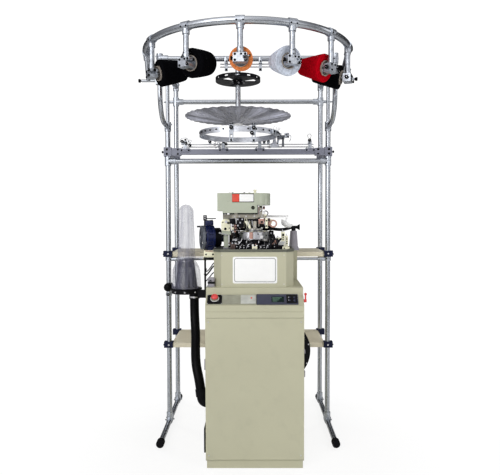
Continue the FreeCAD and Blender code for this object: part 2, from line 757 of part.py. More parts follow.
def tube_joints():
    joints = []
    for x in SIDES:
        aside = inward(x)
        joints += [
            tube_joint(at(x, FRONT_Y, FLOOR_TUBE_Z), BACK, TUBE_D, [(UP, TUBE_D)]),
            tube_joint(at(x, BACK_Y, FLOOR_TUBE_Z), BACK, TUBE_D, [(UP, TUBE_D)]),
            tube_joint(at(x, FRONT_Y, CROSS_FRONT_Z), UP, TUBE_D, [(aside, TUBE_D)]),
            tube_joint(at(x, FRONT_Y, SHELF_BAR_Z), UP, TUBE_D, [(aside, SHELF_BAR_D)], SHELF_BAR_FIT),
            tube_joint(at(x, FRONT_Y, ARM_Z), UP, TUBE_D, [(-BACK, ARM_D)]),
            tube_joint(at(x, FRONT_Y, TOP_Z), BACK, TUBE_D, [(-UP, THIN_D)]),
            tube_joint(at(x, BACK_Y, CROSS_BACK_Z), UP, TUBE_D, [(aside, TUBE_D), (-aside, STUB_D)]),
            tube_joint(at(x, BACK_Y, TOP_Z), UP, TUBE_D, [(-BACK, TUBE_D)]),
            tube_joint(at(x, ARM_Y, TOP_Z), UP, ARM_D, [(BACK, TUBE_D), (aside, TUBE_D)]),
        ]
    return group(joints)


def support_arms():
    arms = []
    for x in SIDES:
        wire = route([(x, FRONT_Y - SEAT, ARM_Z), (x, ARM_Y, ARM_Z),
                      (x, ARM_Y, TOP_Z + FIT_L / 2)], ARM_BEND_R)
        arms.append(bent_pipe(wire, ARM_D, TUBE_WALL))
    return group(arms)


# ---------------------------------------------------------------- overhead tube and its hangers
def ring_point(degrees, z, radius=RING_R):
    """Point on the overhead tube's circle; degrees from the front, towards +X."""
    turn = math.radians(degrees)
    return at(CREEL_X + radius * math.sin(turn), RING_Y - radius * math.cos(turn), z)


def creel_ring():
    middle = (RING_LEFT_DEG + RING_RIGHT_DEG) / 2
    start = ring_point(RING_LEFT_DEG, RING_Z)
    arc = Part.Arc(start, ring_point(middle, RING_Z), ring_point(RING_RIGHT_DEG, RING_Z)).toShape()
    return bent_pipe(Part.Wire([arc]), RING_D, TUBE_WALL)


def ring_room(gap):
    """The space the overhead tube takes, widened by gap."""
    return Part.makeTorus(RING_R, RING_D / 2 + gap, at(CREEL_X, RING_Y, RING_Z), UP)


def ring_clamp(degrees, tail):
    """Clamp round the overhead tube, with a socket hanging from it for a tube along tail."""
    turn = math.radians(degrees)
    along = at(math.cos(turn), math.sin(turn), 0)
    centre = ring_point(degrees, RING_Z)
    half = along * (RING_FIT_L / 2)
    shell = rod(centre - half, centre + half, RING_D + 2 * FIT_WALL)
    socket = rod(centre, centre + tail * (RING_D / 2 + SOCKET_L / 2), HANGER_D + 2 * FIT_WALL)
    hole = rod(centre, centre + tail * (RING_D / 2 + SOCKET_L), HANGER_D + 2 * FIT_GAP)
    return joined([shell, socket]).cut(ring_room(FIT_GAP)).cut(hole)


def post_ends():
    """Top and bottom of the two posts that carry the overhead tube's ends on the arms."""
    return [(ring_point(degrees, RING_Z), at(x + dx, ARM_Y + dy, TOP_Z - POST_FOOT_DROP))
            for degrees, x, (dx, dy) in zip(POST_DEGS, SIDES, POST_FEET)]


def ring_posts():
    parts = []
    for (top, foot), x, degrees in zip(post_ends(), SIDES, POST_DEGS):
        out = -inward(x)
        line = (foot - top).normalize()
        post = rod(top + line * (RING_D / 2 + 2), foot, HANGER_D)
        post = post.cut(ring_room(2.0))
        tip = at(x, foot.y, foot.z) + out * POST_BAR_REACH
        bar = rod(at(x, foot.y, foot.z) + out * (ARM_D / 2 + FIT_WALL / 2), tip, POST_BAR_D)
        clamp = block(x - POST_CLAMP_HALF, x + POST_CLAMP_HALF,
                      min(foot.y, ARM_Y) - POST_CLAMP_FRONT, ARM_Y + POST_CLAMP_HALF,
                      foot.z - POST_CLAMP_H / 2, foot.z + POST_CLAMP_H / 2)
        arm_bore = rod(at(x, ARM_Y, foot.z - POST_CLAMP_H), at(x, ARM_Y, foot.z + POST_CLAMP_H),
                       ARM_D + 2 * FIT_GAP)
        parts.append(joined([post, bar, clamp]).cut(arm_bore))
        parts.append(ring_clamp(degrees, line))
    return group(parts)


def core_radius(distance):
    """Outer radius of a paper cone tube at a distance from its large end."""
    return (CORE_BASE_D + (CORE_NOSE_D - CORE_BASE_D) * distance / CORE_L) / 2


def cone_hanger(degrees):
    """Ring clamp, hanging tube, cast block and the spindle that carries one cone."""
    top = ring_point(degrees, RING_Z)
    foot = ring_point(degrees, HANGER_BLOCK_Z)
    clamp = ring_clamp(degrees, -UP)
    low_tube = rod(foot + UP * HANGER_BLOCK / 2, top - UP * (RING_D / 2 + 2), HANGER_D)
    half = HANGER_BLOCK / 2
    collar = rod(foot + UP * half, foot + UP * (half + HANGER_COLLAR_L), HANGER_COLLAR_D)
    side = HANGER_BLOCK_W / 2
    body = block(-half, half, -side, side, -half, half)
    notch = block(-half - 1, half + 1, -side - 1, HANGER_SLOT - side, -half / 3, half / 3)
    plug_at = CONE_START + PLUG_IN
    spindle = rod(at(0, 0, 0), at(CONE_START + SPINDLE_L, 0, 0), SPINDLE_D)
    plug = rod(at(plug_at, 0, 0), at(plug_at + PLUG_L, 0, 0),
               2 * (core_radius(PLUG_IN + PLUG_L) - CORE_WALL - CLEAR))
    flange = rod(at(half - 2, 0, 0), at(half + HANGER_FLANGE_T, 0, 0), HANGER_FLANGE_D)
    head = joined([body.cut(notch), placed(joined([spindle, plug, flange]), at(0, 0, 0), 0, CONE_TILT)])
    head = placed(head, foot, degrees + 90)
    return group([clamp, joined([low_tube, collar, head])])


def cone_hangers():
    return group([cone_hanger(degrees) for degrees in HANGER_DEGS])


def cone_place(shape, degrees):
    return placed(shape, ring_point(degrees, HANGER_BLOCK_Z), degrees + 90, CONE_TILT)


def along_x(points):
    """Solid of revolution about the local X axis, from (distance, radius) points."""
    corners = [at(x, r, 0) for x, r in points]
    face = Part.Face(Part.makePolygon(corners + [corners[0]]))
    return face.revolve(at(0, 0, 0), RIGHT, 360)


def cone_tube():
    return along_x([(CONE_START, core_radius(0) - CORE_WALL), (CONE_START, core_radius(0)),
                    (CONE_START + CORE_L, core_radius(CORE_L)),
                    (CONE_START + CORE_L, core_radius(CORE_L) - CORE_WALL)])


def cone_tubes():
    return group([cone_place(cone_tube(), degrees) for degrees in HANGER_DEGS])


def yarn_cone(name, degrees):
    """Wound package: a truncated cone with soft shoulders on its paper tube."""
    base_r, nose_r, base_fillet, nose_fillet = CONES[name]
    x0 = CONE_START + CORE_OUT
    x1 = x0 + CONE_L
    bore0 = core_radius(x0 - CONE_START) + CLEAR
    bore1 = core_radius(x1 - CONE_START) + CLEAR
    lean = (nose_r - base_r) / CONE_L
    points = [(x0, bore0), (x0, base_r - base_fillet)]
    points += [(x0 + base_fillet * (1 - math.cos(a)), base_r - base_fillet * (1 - math.sin(a)))
               for a in (math.radians(d) for d in (30, 60))]
    points += [(x0 + base_fillet, base_r + lean * base_fillet)]
    points += [(x1 - nose_fillet * (1 - math.sin(a)), nose_r - nose_fillet * (1 - math.cos(a)))
               for a in (math.radians(d) for d in (0, 30, 60, 90))]
    points += [(x1 + CORE_OUT / 2, bore1 + 3), (x1 + CORE_OUT / 2, bore1)]
    return cone_place(along_x(points), degrees)


# ---------------------------------------------------------------- centre shaft, wheel and dish
def centre_shaft():
    shaft = rod(at(SHAFT_X, ARM_Y, SHAFT_LOW_Z), at(SHAFT_X, ARM_Y, TOP_Z - SEAT), SHAFT_D)
    sleeve = tube_joint(at(SHAFT_X, ARM_Y, TOP_Z), RIGHT, TUBE_D, [(-UP, SHAFT_D)])
    return group([shaft, sleeve])


def yarn_wheel():
    """Flat wheel with an upright slotted rim, three windows and a clamped hub."""
    top = PLATE_WHEEL_Z + PLATE_WHEEL_H
    r = PLATE_WHEEL_D / 2
    rim = ring(r, r - PLATE_WHEEL_RIM, PLATE_WHEEL_Z, top)
    web = Part.makeCylinder(r - PLATE_WHEEL_RIM / 2, PLATE_WEB_T, at(0, 0, PLATE_WHEEL_Z))
    hub = Part.makeCylinder(PLATE_HUB_D / 2, PLATE_WHEEL_H + PLATE_HUB_OVER, at(0, 0, PLATE_WHEEL_Z))
    wheel = joined([rim, web, hub])
    low, high = PLATE_WHEEL_Z - 1, PLATE_WHEEL_Z + PLATE_WEB_T + 1
    window = ring(r - WINDOW_EDGE, WINDOW_IN_R, low, high)
    wedge = plan([(0, 0), (-120, -220), (-220, -120)], low, high)
    pane = window.common(wedge)
    slot = block(-PLATE_SLOT_W / 2, PLATE_SLOT_W / 2, -r - 1, -r + PLATE_WHEEL_RIM + 1,
                 top - PLATE_SLOT_DROP - PLATE_SLOT_H, top - PLATE_SLOT_DROP)
    cuts = [spun(pane, 360 / PLATE_WINDOWS * i) for i in range(PLATE_WINDOWS)]
    cuts += [spun(slot, 360 / PLATE_SLOTS * i) for i in range(PLATE_SLOTS)]
    cuts.append(Part.makeCylinder(SHAFT_D / 2 + FIT_GAP, 2 * (PLATE_WHEEL_H + PLATE_HUB_OVER),
                                  at(0, 0, low)))
    wheel = wheel.cut(cuts[0].multiFuse(cuts[1:]))
    wheel.translate(at(SHAFT_X, ARM_Y, 0))
    return wheel


def lint_dish():
    """Thin inverted cone folded into radial pleats."""
    hub_r = DISH_HUB_D / 2 - 4
    step = math.pi / DISH_PLEATS
    faces = []

    def point(index, low):
        high = DISH_PLEAT_H if index % 2 else 0.0
        turn = index * step
        rim = at(DISH_D / 2 * math.cos(turn), DISH_D / 2 * math.sin(turn), DISH_RIM_Z + high - low)
        hub = at(hub_r * math.cos(turn), hub_r * math.sin(turn), DISH_HUB_Z - low)
        return rim, hub

    def face(corners):
        faces.append(Part.Face(Part.makePolygon(corners + [corners[0]])))

    for index in range(2 * DISH_PLEATS):
        for low, flip in ((0.0, False), (DISH_T, True)):
            rim_a, hub_a = point(index, low)
            rim_b, hub_b = point(index + 1, low)
            face([rim_a, rim_b, hub_a])
            face([rim_b, hub_b, hub_a])
        rim_a, hub_a = point(index, 0.0)
        rim_b, hub_b = point(index + 1, 0.0)
        drop = at(0, 0, -DISH_T)
        face([rim_a, rim_b, rim_b + drop, rim_a + drop])
        face([hub_a, hub_b, hub_b + drop, hub_a + drop])
    dish = Part.Solid(Part.Shell(faces))
    dish.fix(0.01, 0.01, 0.01)
    dish.translate(at(SHAFT_X, ARM_Y, 0))
    return dish


def dish_hub():
    low = DISH_HUB_Z - DISH_T
    r = DISH_HUB_D / 2
    shaft_r = SHAFT_D / 2 + FIT_GAP
    foot = low - DISH_HUB_UNDER
    top = DISH_HUB_Z + DISH_HUB_OVER
    under = turned([(shaft_r, foot), (r - DISH_HUB_EDGE, foot), (r, foot + DISH_HUB_EDGE),
                    (r, low - CLEAR), (shaft_r, low - CLEAR)])
    over = ring(r - 6, shaft_r, DISH_HUB_Z + CLEAR, top)
    neck = ring(r - 4.5 - CLEAR, shaft_r, foot, top)
    hub = joined([under, over, neck])
    hub.translate(at(SHAFT_X, ARM_Y, 0))
    return hub


# ---------------------------------------------------------------- yarn beam and guide ring
def beam_bars():
    """Dark box beam between the front uprights and the two dark bars back to the rear ones."""
    inner_left = CREEL_LEFT + TUBE_D / 2 + CLEAR
    inner_right = CREEL_RIGHT - TUBE_D / 2 - CLEAR
    beam = block(inner_left + BEAM_END_GAP, inner_right - BEAM_END_GAP,
                 FRONT_Y - BEAM_D / 2, FRONT_Y + BEAM_D / 2, BEAM_LOW, BEAM_TOP)
    parts = [beam]
    for x in SIDES:
        far = x + inward(x).x * SIDE_EAR_L
        clamp = centred(x, FRONT_Y, BEAM_Z, TUBE_D + 2 * SIDE_CLAMP_OVER, SIDE_CLAMP_D, SIDE_CLAMP_H)
        ear = centred((x + far) / 2, FRONT_Y, BEAM_Z, SIDE_EAR_L, SIDE_EAR_D, SIDE_EAR_H)
        bar = block(x - SIDE_BAR / 2, x + SIDE_BAR / 2, FRONT_Y + SEAT, BACK_Y - SEAT,
                    BEAM_Z - SIDE_BAR / 2, BEAM_Z + SIDE_BAR / 2)
        rear = centred(x, BACK_Y, BEAM_Z, REAR_CLAMP, REAR_CLAMP, REAR_CLAMP_H)
        bores = [rod(at(x, y, BEAM_Z - SIDE_CLAMP_H), at(x, y, BEAM_Z + SIDE_CLAMP_H),
                     TUBE_D + 2 * FIT_GAP) for y in (FRONT_Y, BACK_Y)]
        parts.append(joined([clamp, ear, bar, rear]).cut(bores[0]).cut(bores[1]).cut(beam))
    return group(parts)


def rod_bracket(x, height):
    """Base plate on the beam with a slim post that holds the thin rods."""
    base = centred(x, FRONT_Y, BEAM_TOP + BRACKET_BASE_T / 2, BRACKET_BASE_W, BRACKET_BASE_D, BRACKET_BASE_T)
    post = centred(x, FRONT_Y, BEAM_TOP + height / 2, POST_W, POST_D, height)
    holes = [rod(at(x - POST_W, FRONT_Y, ROD_LOWER_Z + i * ROD_STEP),
                 at(x + POST_W, FRONT_Y, ROD_LOWER_Z + i * ROD_STEP), ROD_D + 2 * FIT_GAP)
             for i in range(2)]
    return joined([base, post]).cut(holes[0].multiFuse(holes[1:]))


def beam_brackets():
    parts = [rod_bracket(x, POST_H) for x in BRACKET_XS]
    for x in BRACKET_XS[1:3]:
        offset = x - SHAFT_X
        ring_y = GUIDE_Y + math.sqrt(GUIDE_R ** 2 - offset ** 2)
        left, right = x - GUIDE_ARM_W / 2, x + GUIDE_ARM_W / 2
        end = FRONT_Y - POST_D / 2 - CLEAR
        top = GUIDE_Z + GUIDE_ARM_HIGH
        arm = block(left, right, ring_y + CLEAR, end, GUIDE_Z + GUIDE_ARM_LOW, top)
        riser = block(left, right, FRONT_Y - BRACKET_BASE_D / 2, end, BEAM_TOP + BRACKET_BASE_T + CLEAR, top)
        hoop = ring(GUIDE_R + CLEAR, GUIDE_R - 60, GUIDE_Z - 2, GUIDE_TOP + 2, SHAFT_X, GUIDE_Y)
        parts.append(joined([arm, riser]).cut(hoop))
    for x in CHORD_CLAMP_XS:
        strap = block(x - CHORD_CLAMP_W / 2, x + CHORD_CLAMP_W / 2,
                      ARM_Y - CHORD_CLAMP_D / 2, ARM_Y + CHORD_CLAMP_D / 2,
                      CHORD_ROD_ZS[1] - CHORD_CLAMP_L, TOP_Z - TUBE_D / 2 - CLEAR)
        holes = [rod(at(x - CHORD_CLAMP_W, ARM_Y, z), at(x + CHORD_CLAMP_W, ARM_Y, z), ROD_D + 2 * FIT_GAP)
                 for z in CHORD_ROD_ZS]
        parts.append(strap.cut(holes[0].multiFuse(holes[1:])))
    return group(parts)


def yarn_rods():
    left = BRACKET_XS[0] - ROD_OVER
    right = BRACKET_XS[-1] + ROD_OVER
    inner = SHAFT_D / 2 + FIT_WALL + ROD_D / 2 - 1
    rods = [rod(at(left, FRONT_Y, ROD_LOWER_Z + i * ROD_STEP),
                at(right, FRONT_Y, ROD_LOWER_Z + i * ROD_STEP), ROD_D) for i in range(2)]
    rods += [rod(at(CHORD_ROD_ENDS[0], ARM_Y, z), at(SHAFT_X - inner, ARM_Y, z), ROD_D)
             for z in CHORD_ROD_ZS]
    rods += [rod(at(SHAFT_X + inner, ARM_Y, z), at(CHORD_ROD_ENDS[1], ARM_Y, z), ROD_D)
             for z in CHORD_ROD_ZS]
    return group(rods)


def guide_ring():
    hoop = ring(GUIDE_R, GUIDE_R - GUIDE_T, GUIDE_Z, GUIDE_TOP, SHAFT_X, GUIDE_Y)
    studs = []
    for degrees in GUIDE_STUD_DEGS:
        turn = math.radians(degrees)
        way = at(math.cos(turn), math.sin(turn), 0)
        foot = at(SHAFT_X, GUIDE_Y, GUIDE_Z + GUIDE_STUD_RISE) + way * (GUIDE_R - GUIDE_T - GUIDE_STUD_L + 2)
        studs.append(rod(foot, foot + way * GUIDE_STUD_L, GUIDE_STUD_D))
    return joined([hoop] + studs)


def guide_holders():
    """Square brackets clamped on the near side of the guide ring."""
    holders = []
    for x in HOLDER_XS:
        offset = x - SHAFT_X
        near = GUIDE_Y - math.sqrt(GUIDE_R ** 2 - offset ** 2)
        front, back = near - HOLDER_FRONT, near + GUIDE_T + HOLDER_OVER
        body = block(x - HOLDER_W / 2, x + HOLDER_W / 2, front, back,
                     GUIDE_Z - HOLDER_DROP, GUIDE_TOP + HOLDER_OVER)
        cut = ring(GUIDE_R + CLEAR, GUIDE_R - GUIDE_T - CLEAR, GUIDE_Z - CLEAR, GUIDE_TOP + 2 * HOLDER_OVER,
                   SHAFT_X, GUIDE_Y)
        window = block(x - HOLDER_WINDOW / 2, x + HOLDER_WINDOW / 2, front - 1, back + 1,
                       GUIDE_Z - HOLDER_WINDOW_LOW, GUIDE_Z - HOLDER_WINDOW_HIGH)
        holders.append(body.cut(cut).cut(window))
    return group(holders)


def clamp_knobs():
    """Black knobs of the clamps on hangers, posts, beam and receiver."""
    knobs = []
    for degrees in HANGER_DEGS:
        turn = math.radians(degrees)
        side = at(-math.cos(turn), -math.sin(turn), 0)
        foot = ring_point(degrees, HANGER_BLOCK_Z) + side * (HANGER_BLOCK_W / 2 + CLEAR)
        knobs.append(rod(foot, foot + side * KNOB_L, KNOB_D))
    for (top, foot), x in zip(post_ends(), SIDES):
        out = -inward(x)
        tip = at(x, foot.y, foot.z) + out * (POST_BAR_REACH + CLEAR)
        knobs.append(rod(tip, tip + out * KNOB_END_L, KNOB_D))
    for x in SIDES:
        out = -inward(x)
        face = at(x, FRONT_Y, BEAM_Z) + out * (TUBE_D / 2 + SIDE_CLAMP_OVER + CLEAR)
        knobs.append(rod(face, face + out * SMALL_KNOB_D, SIDE_KNOB_D))
    for x in BRACKET_XS:
        face = at(x, FRONT_Y, BEAM_TOP + POST_H)
        knobs.append(rod(face, face + UP * KNOB_L, SMALL_KNOB_D))
    return group(knobs)


# ---------------------------------------------------------------- shelves
def shelf(top_z):
    left = CREEL_LEFT + TUBE_D / 2 + SHELF_GAP
    right = CREEL_RIGHT - TUBE_D / 2 - SHELF_GAP
    front = FRONT_Y - SHELF_OVER
    back = BACK_Y + SHELF_OVER
    outer = block(left, right, front, back, top_z - SHELF_LIP, top_z)
    inner = block(left + SHEET, right - SHEET, front + SHEET, back - SHEET,
                  top_z - SHELF_LIP - 1, top_z - SHEET)
    return outer.cut(inner)


def shelf_clamps():
    parts = []
    for x in SIDES:
        out = -inward(x).x
        for top_z in (SHELF_UPPER_Z, SHELF_LOWER_Z):
            low = top_z - SHELF_LIP - 1
            for y in (FRONT_Y, BACK_Y):
                x_out = x + out * SHELF_CLAMP_OUT
                x_in = x - out * SHELF_CLAMP_IN
                front = y - SHELF_CLAMP_D / 2
                high = top_z + SHELF_CLAMP_OVER
                body = block(min(x_out, x_in), max(x_out, x_in), front, front + SHELF_CLAMP_D, low, high)
                side = CREEL_HALF - TUBE_D / 2 - SHELF_GAP + CLEAR
                room = block(CREEL_X - side, CREEL_X + side, FRONT_Y - SHELF_OVER - CLEAR,
                             BACK_Y + SHELF_OVER + CLEAR, low - 1, top_z)
                bore = rod(at(x, y, low - 1), at(x, y, high + 1), TUBE_D + 2 * FIT_GAP)
                bolt_at = at(x, front, top_z - SHELF_BOLT_DROP)
                bolt = rod(bolt_at, bolt_at - BACK * SHELF_BOLT_L, SHELF_BOLT_D)
                parts.append(joined([body, bolt]).cut(room).cut(bore))
    return group(parts)


# ---------------------------------------------------------------- cabinet
def cabinet_section(inset):
    """Side profile of the cabinet, in from the outside by inset."""
    return [(CABINET_FRONT + inset, PLINTH_H + inset), (CABINET_FRONT + inset, FRONT_TOP_Z - inset / 2),
            (SLOPE_BACK_Y + inset, SLOPE_TOP_Z - inset / 2), (SLOPE_BACK_Y + inset, DECK_Z - inset),
            (CABINET_BACK - inset, DECK_Z - inset), (CABINET_BACK - inset, PLINTH_H + inset)]


def front_cover():
    """Removable sheet over the whole front opening, folded back at its edges."""
    half = CABINET_X
    low = PLINTH_H + COVER_LOW
    skin = block(-half, half, CABINET_FRONT, CABINET_FRONT + SHEET, low, COVER_TOP_Z)
    fold = block(-half, half, CABINET_FRONT, CABINET_FRONT + FOLD_L, low, COVER_TOP_Z)
    room = block(-half + SHEET, half - SHEET, CABINET_FRONT + SHEET, CABINET_FRONT + 2 * FOLD_L,
                 low + SHEET, COVER_TOP_Z - SHEET)
    return joined([skin, fold.cut(room)])


def cabinet():
    body = side_profile(cabinet_section(0.0), -CABINET_X, CABINET_X)
    hollow = side_profile(cabinet_section(SHEET), -CABINET_X + SHEET, CABINET_X - SHEET)
    edge = PLINTH_SETBACK
    plinth = block(-CABINET_X + edge, CABINET_X - edge, CABINET_FRONT + edge, CABINET_BACK - edge,
                   0, PLINTH_H + 1)
    plinth_room = block(-CABINET_X + edge + SHEET, CABINET_X - edge - SHEET,
                        CABINET_FRONT + edge + SHEET, CABINET_BACK - edge - SHEET, SHEET, PLINTH_H)
    floor_hole = Part.makeCylinder(CABLE_HOLE_D / 2, PLINTH_H, at(0, 0, PLINTH_H - FOLD_L))
    rear_box = block(REAR_BOX_LEFT, CABINET_X, REAR_BOX_Y, CABINET_BACK, DECK_Z - 1, REAR_BOX_TOP_Z)
    rear_room = block(REAR_BOX_LEFT + SHEET, CABINET_X - SHEET, REAR_BOX_Y + SHEET,
                      CABINET_BACK - SHEET, DECK_Z - SHEET - 1, REAR_BOX_TOP_Z - SHEET)
    flange_y = CABINET_FRONT + FOLD_L + CLEAR
    doorway = block(-CABINET_X - 1, CABINET_X + 1, CABINET_FRONT - 1, flange_y,
                    PLINTH_H + COVER_LOW - COVER_GAP, COVER_TOP_Z + COVER_GAP)
    half = CABINET_X - FLANGE_INSET
    low, high = PLINTH_H + 2, COVER_TOP_Z + 12
    flange = block(-half, half, flange_y, flange_y + SHEET, low, high)
    flange_room = block(-half + FLANGE_W, half - FLANGE_W, flange_y - 1, flange_y + SHEET + 1,
                        low + FLANGE_LOW, high - FLANGE_HIGH)
    groove = block(-CABINET_X - 1, CABINET_X + 1, CABINET_FRONT - 1, CABINET_FRONT + 1.5,
                   GROOVE_Z, GROOVE_Z + GROOVE_H)
    louvres = [block(LOUVRE_X - LOUVRE_W / 2, LOUVRE_X + LOUVRE_W / 2, CABINET_BACK - SHEET - 1,
                     CABINET_BACK + 1, z, z + LOUVRE_H)
               for z in (LOUVRE_Z + LOUVRE_PITCH * i for i in range(LOUVRE_COUNT))]
    shell = joined([body.cut(hollow), rear_box]).cut(rear_room)
    shell = shell.cut(doorway).cut(groove).cut(louvres[0].multiFuse(louvres[1:]))
    return joined([shell, plinth.cut(plinth_room), flange.cut(flange_room)]).cut(floor_hole)


def slope_place(shape):
    """From flat (x, distance up the slope, height over it) onto the sloped panel."""
    copy = shape.copy()
    copy.rotate(at(0, 0, 0), RIGHT, SLOPE_DEG)
    copy.translate(at(0, CABINET_FRONT, FRONT_TOP_Z))
    return copy


def stop_x():
    return PANEL_LEFT_X + PANEL_BLACK_W / 2


def control_panel():
    """Panel strip on the slope: black stop plate, plain field, pale field, all one folded sheet."""
    right = PANEL_LEFT_X + PANEL_BLACK_W + PANEL_INSET_W + PANEL_GREY_W
    strip = block(PANEL_LEFT_X, right, PANEL_START, PANEL_START + PANEL_L, CLEAR, PANEL_T)
    field = block(PANEL_LEFT_X + PANEL_BLACK_W + SEAM, right - PANEL_GREY_W - SEAM,
                  PANEL_START + PANEL_FIELD_EDGE, PANEL_START + PANEL_L - PANEL_FIELD_EDGE,
                  PANEL_T - PANEL_FIELD_DEPTH, PANEL_T + 1)
    collar = Part.makeCylinder(STOP_COLLAR_D / 2, STOP_COLLAR_H, at(stop_x(), STOP_ALONG, PANEL_T - 1))
    bore = Part.makeCylinder(STOP_STEM_D / 2 + RUNNING, 2 * STOP_D, at(stop_x(), STOP_ALONG, -STOP_D))
    return slope_place(joined([strip.cut(field), collar]).cut(bore))


def stop_button():
    """Mushroom button: domed head on a stem that runs in the panel's collar."""
    z0 = PANEL_T - 1 + STOP_COLLAR_H + STOP_TRAVEL + CLEAR
    r = STOP_D / 2
    stem = STOP_STEM_D / 2
    low = CLEAR + 1 + STOP_TRAVEL
    profile = [(0, low), (stem, low), (stem, z0), (r - 2, z0), (r, z0 + 3), (r - 2, z0 + STOP_H * 0.55),
               (r - 8, z0 + STOP_H * 0.9), (0, z0 + STOP_H)]
    return slope_place(turned(profile, stop_x(), STOP_ALONG))


def display_unit():
    """Operator display: shallow framed case with a sunk screen and a row of keys."""
    left = PANEL_LEFT_X + PANEL_BLACK_W + PANEL_INSET_W + PANEL_GREY_W + 2
    right = left + PANEL_DISPLAY_W
    top = PANEL_T + DISPLAY_OVER
    case = block(left, right, PANEL_START - 2, PANEL_START + 2 + PANEL_L, CLEAR, top)
    screen_x = left + SCREEN_X
    middle = PANEL_START + PANEL_L / 2
    screen = block(screen_x, screen_x + SCREEN_W, middle - 2 - SCREEN_L / 2, middle - 2 + SCREEN_L / 2,
                   PANEL_T + 1, top + 1)
    keys = [Part.makeCylinder(KEY_D / 2, DISPLAY_OVER, at(screen_x + KEY_X + KEY_PITCH_X * i, y, top - 1))
            for i in range(2) for y in (middle - KEY_PITCH_Y / 2, middle + KEY_PITCH_Y / 2)]
    return slope_place(joined([case.cut(screen)] + keys))


def side_lever():
    """Toggle on the cabinet's right side, hanging from its pivot boss."""
    pivot = at(CABINET_X + CLEAR, LEVER_Y, LEVER_Z)
    boss = rod(pivot, pivot + RIGHT * LEVER_BOSS_L, LEVER_BOSS_D)
    foot = pivot + RIGHT * LEVER_OUT
    stem = rod(foot, foot + UP * LEVER_L, LEVER_D)
    knob = Part.makeSphere(LEVER_KNOB_D / 2, foot + UP * (LEVER_L + LEVER_KNOB_D / 4))
    return joined([boss, stem, knob])


# ---------------------------------------------------------------- neck and needle mechanism
def neck_housing():
    """Eight-sided casing on the deck, open below, with the well that takes the needle cylinder."""
    wall = plan(neck_plan(0.0), DECK_Z, NECK_TOP_Z)
    wall = wall.cut(plan(neck_plan(SHEET), DECK_Z - 1, NECK_TOP_Z - SHEET))
    well = Part.makeCylinder(CAP_BORE / 2 + 12, 10, at(0, 0, NECK_TOP_Z - 6))
    return wall.cut(well)


def neck_tray():
    """Dark top plate of the neck with a raised rim and a round opening."""
    body = plan(neck_plan(-TRAY_LIP), NECK_TOP_Z, TRAY_Z)
    sunk = plan(neck_plan(TRAY_EDGE), TRAY_FLOOR, TRAY_Z + 1)
    opening = Part.makeCylinder(CAP_BORE / 2 + 6, 40, at(0, 0, NECK_TOP_Z - 10))
    return body.cut(sunk).cut(opening)


def needle_cylinder():
    """Slotted cylinder: one needle groove per needle, cut down from its upper edge."""
    r = CYLINDER_D / 2
    body = ring(r, CYLINDER_BORE / 2, FOOT_Z, CYLINDER_TOP_Z)
    foot = ring(FOOT_D / 2, CYLINDER_BORE / 2, FOOT_Z, FOOT_Z + FOOT_H)
    body = joined([body, foot])
    groove = block(-NEEDLE_SLOT_W / 2, NEEDLE_SLOT_W / 2, -r - 1, -r + NEEDLE_SLOT_DEPTH,
                   CYLINDER_TOP_Z - NEEDLE_SLOT_H, CYLINDER_TOP_Z + 1)
    grooves = [spun(groove, 360 / NEEDLE_COUNT * i) for i in range(NEEDLE_COUNT)]
    return body.cut(Part.makeCompound(grooves))


def sinker_cap():
    """Bright ring round the cylinder's upper end, with a clamp block and a feed notch."""
    band = turned([(CAP_BORE / 2, CAP_Z0 + 6), (CAP_BORE / 2 + 20, CAP_Z0), (CAP_D / 2, CAP_Z0),
                   (CAP_D / 2, CAP_Z1 - 4), (CAP_D / 2 - 4, CAP_Z1), (CAP_BORE / 2, CAP_Z1)])
    notch = block(18, 24, -CAP_D / 2 - 5, -CAP_D / 2 + 12, CAP_Z1 - 22, CAP_Z1 + 1)
    seam = block(-38, -35, -CAP_D / 2 - 5, -CAP_D / 2 + 4, CAP_Z0 - 1, CAP_Z1 + 1)
    return band.cut(notch).cut(seam)


def cam_box():
    """Cam ring with its stations: a slide housing and a push rod at each place."""
    low = TRAY_FLOOR
    rim = CAM_D / 2 + CAM_FLANGE_W
    hub = turned([(CYLINDER_D / 2, low), (rim, low), (rim, low + CAM_FLANGE_H),
                  (CAM_D / 2, low + CAM_FLANGE_H), (CAM_D / 2, CAP_Z0), (CAP_BORE / 2 + 4, CAP_Z0),
                  (CAP_BORE / 2 + 4, FOOT_Z + FOOT_H), (FOOT_D / 2 + RUNNING, FOOT_Z + FOOT_H),
                  (FOOT_D / 2 + RUNNING, FOOT_Z - RUNNING), (CYLINDER_D / 2, FOOT_Z - RUNNING)])
    parts = [hub]
    front = -CAM_D / 2
    body = block(-STATION_W / 2, STATION_W / 2, front - STATION_OUT, front + 6,
                 low + 4, CAP_Z0 - STATION_DROP)
    head = block(-PUSHER_W / 2, PUSHER_W / 2, front - PUSHER_OUT, front - PUSHER_OUT + PUSHER_L,
                 low + STATION_DROP + 2, CAP_Z0 - PUSHER_DROP)
    rod_z = CAP_Z0 - STATION_DROP - 4
    push_rod = rod(at(0, front - PUSHER_OUT + 6, rod_z), at(0, front - PUSHER_ROD_OUT, rod_z), PUSHER_ROD_D)
    station = joined([body, head, push_rod])
    for i in range(CAM_STATIONS):
        parts.append(spun(station, CAM_PITCH * (i - (CAM_STATIONS - 1) / 2)))
    return joined(parts)


def cam_blocks():
    """Ivory selector blocks on the right of the cam ring."""
    low = TRAY_FLOOR
    blocks = []
    for x0, x1, y0, height in SELECTORS:
        top = low + height
        high = top - SELECTOR_WINDOW_DROP
        body = block(x0, x1, y0, y0 + SELECTOR_D, low, top)
        window = block(x0 + 5, x1 - 5, y0 - 1, y0 + 6, high - SELECTOR_WINDOW_H, high)
        blocks.append(body.cut(window))
    return group(blocks)


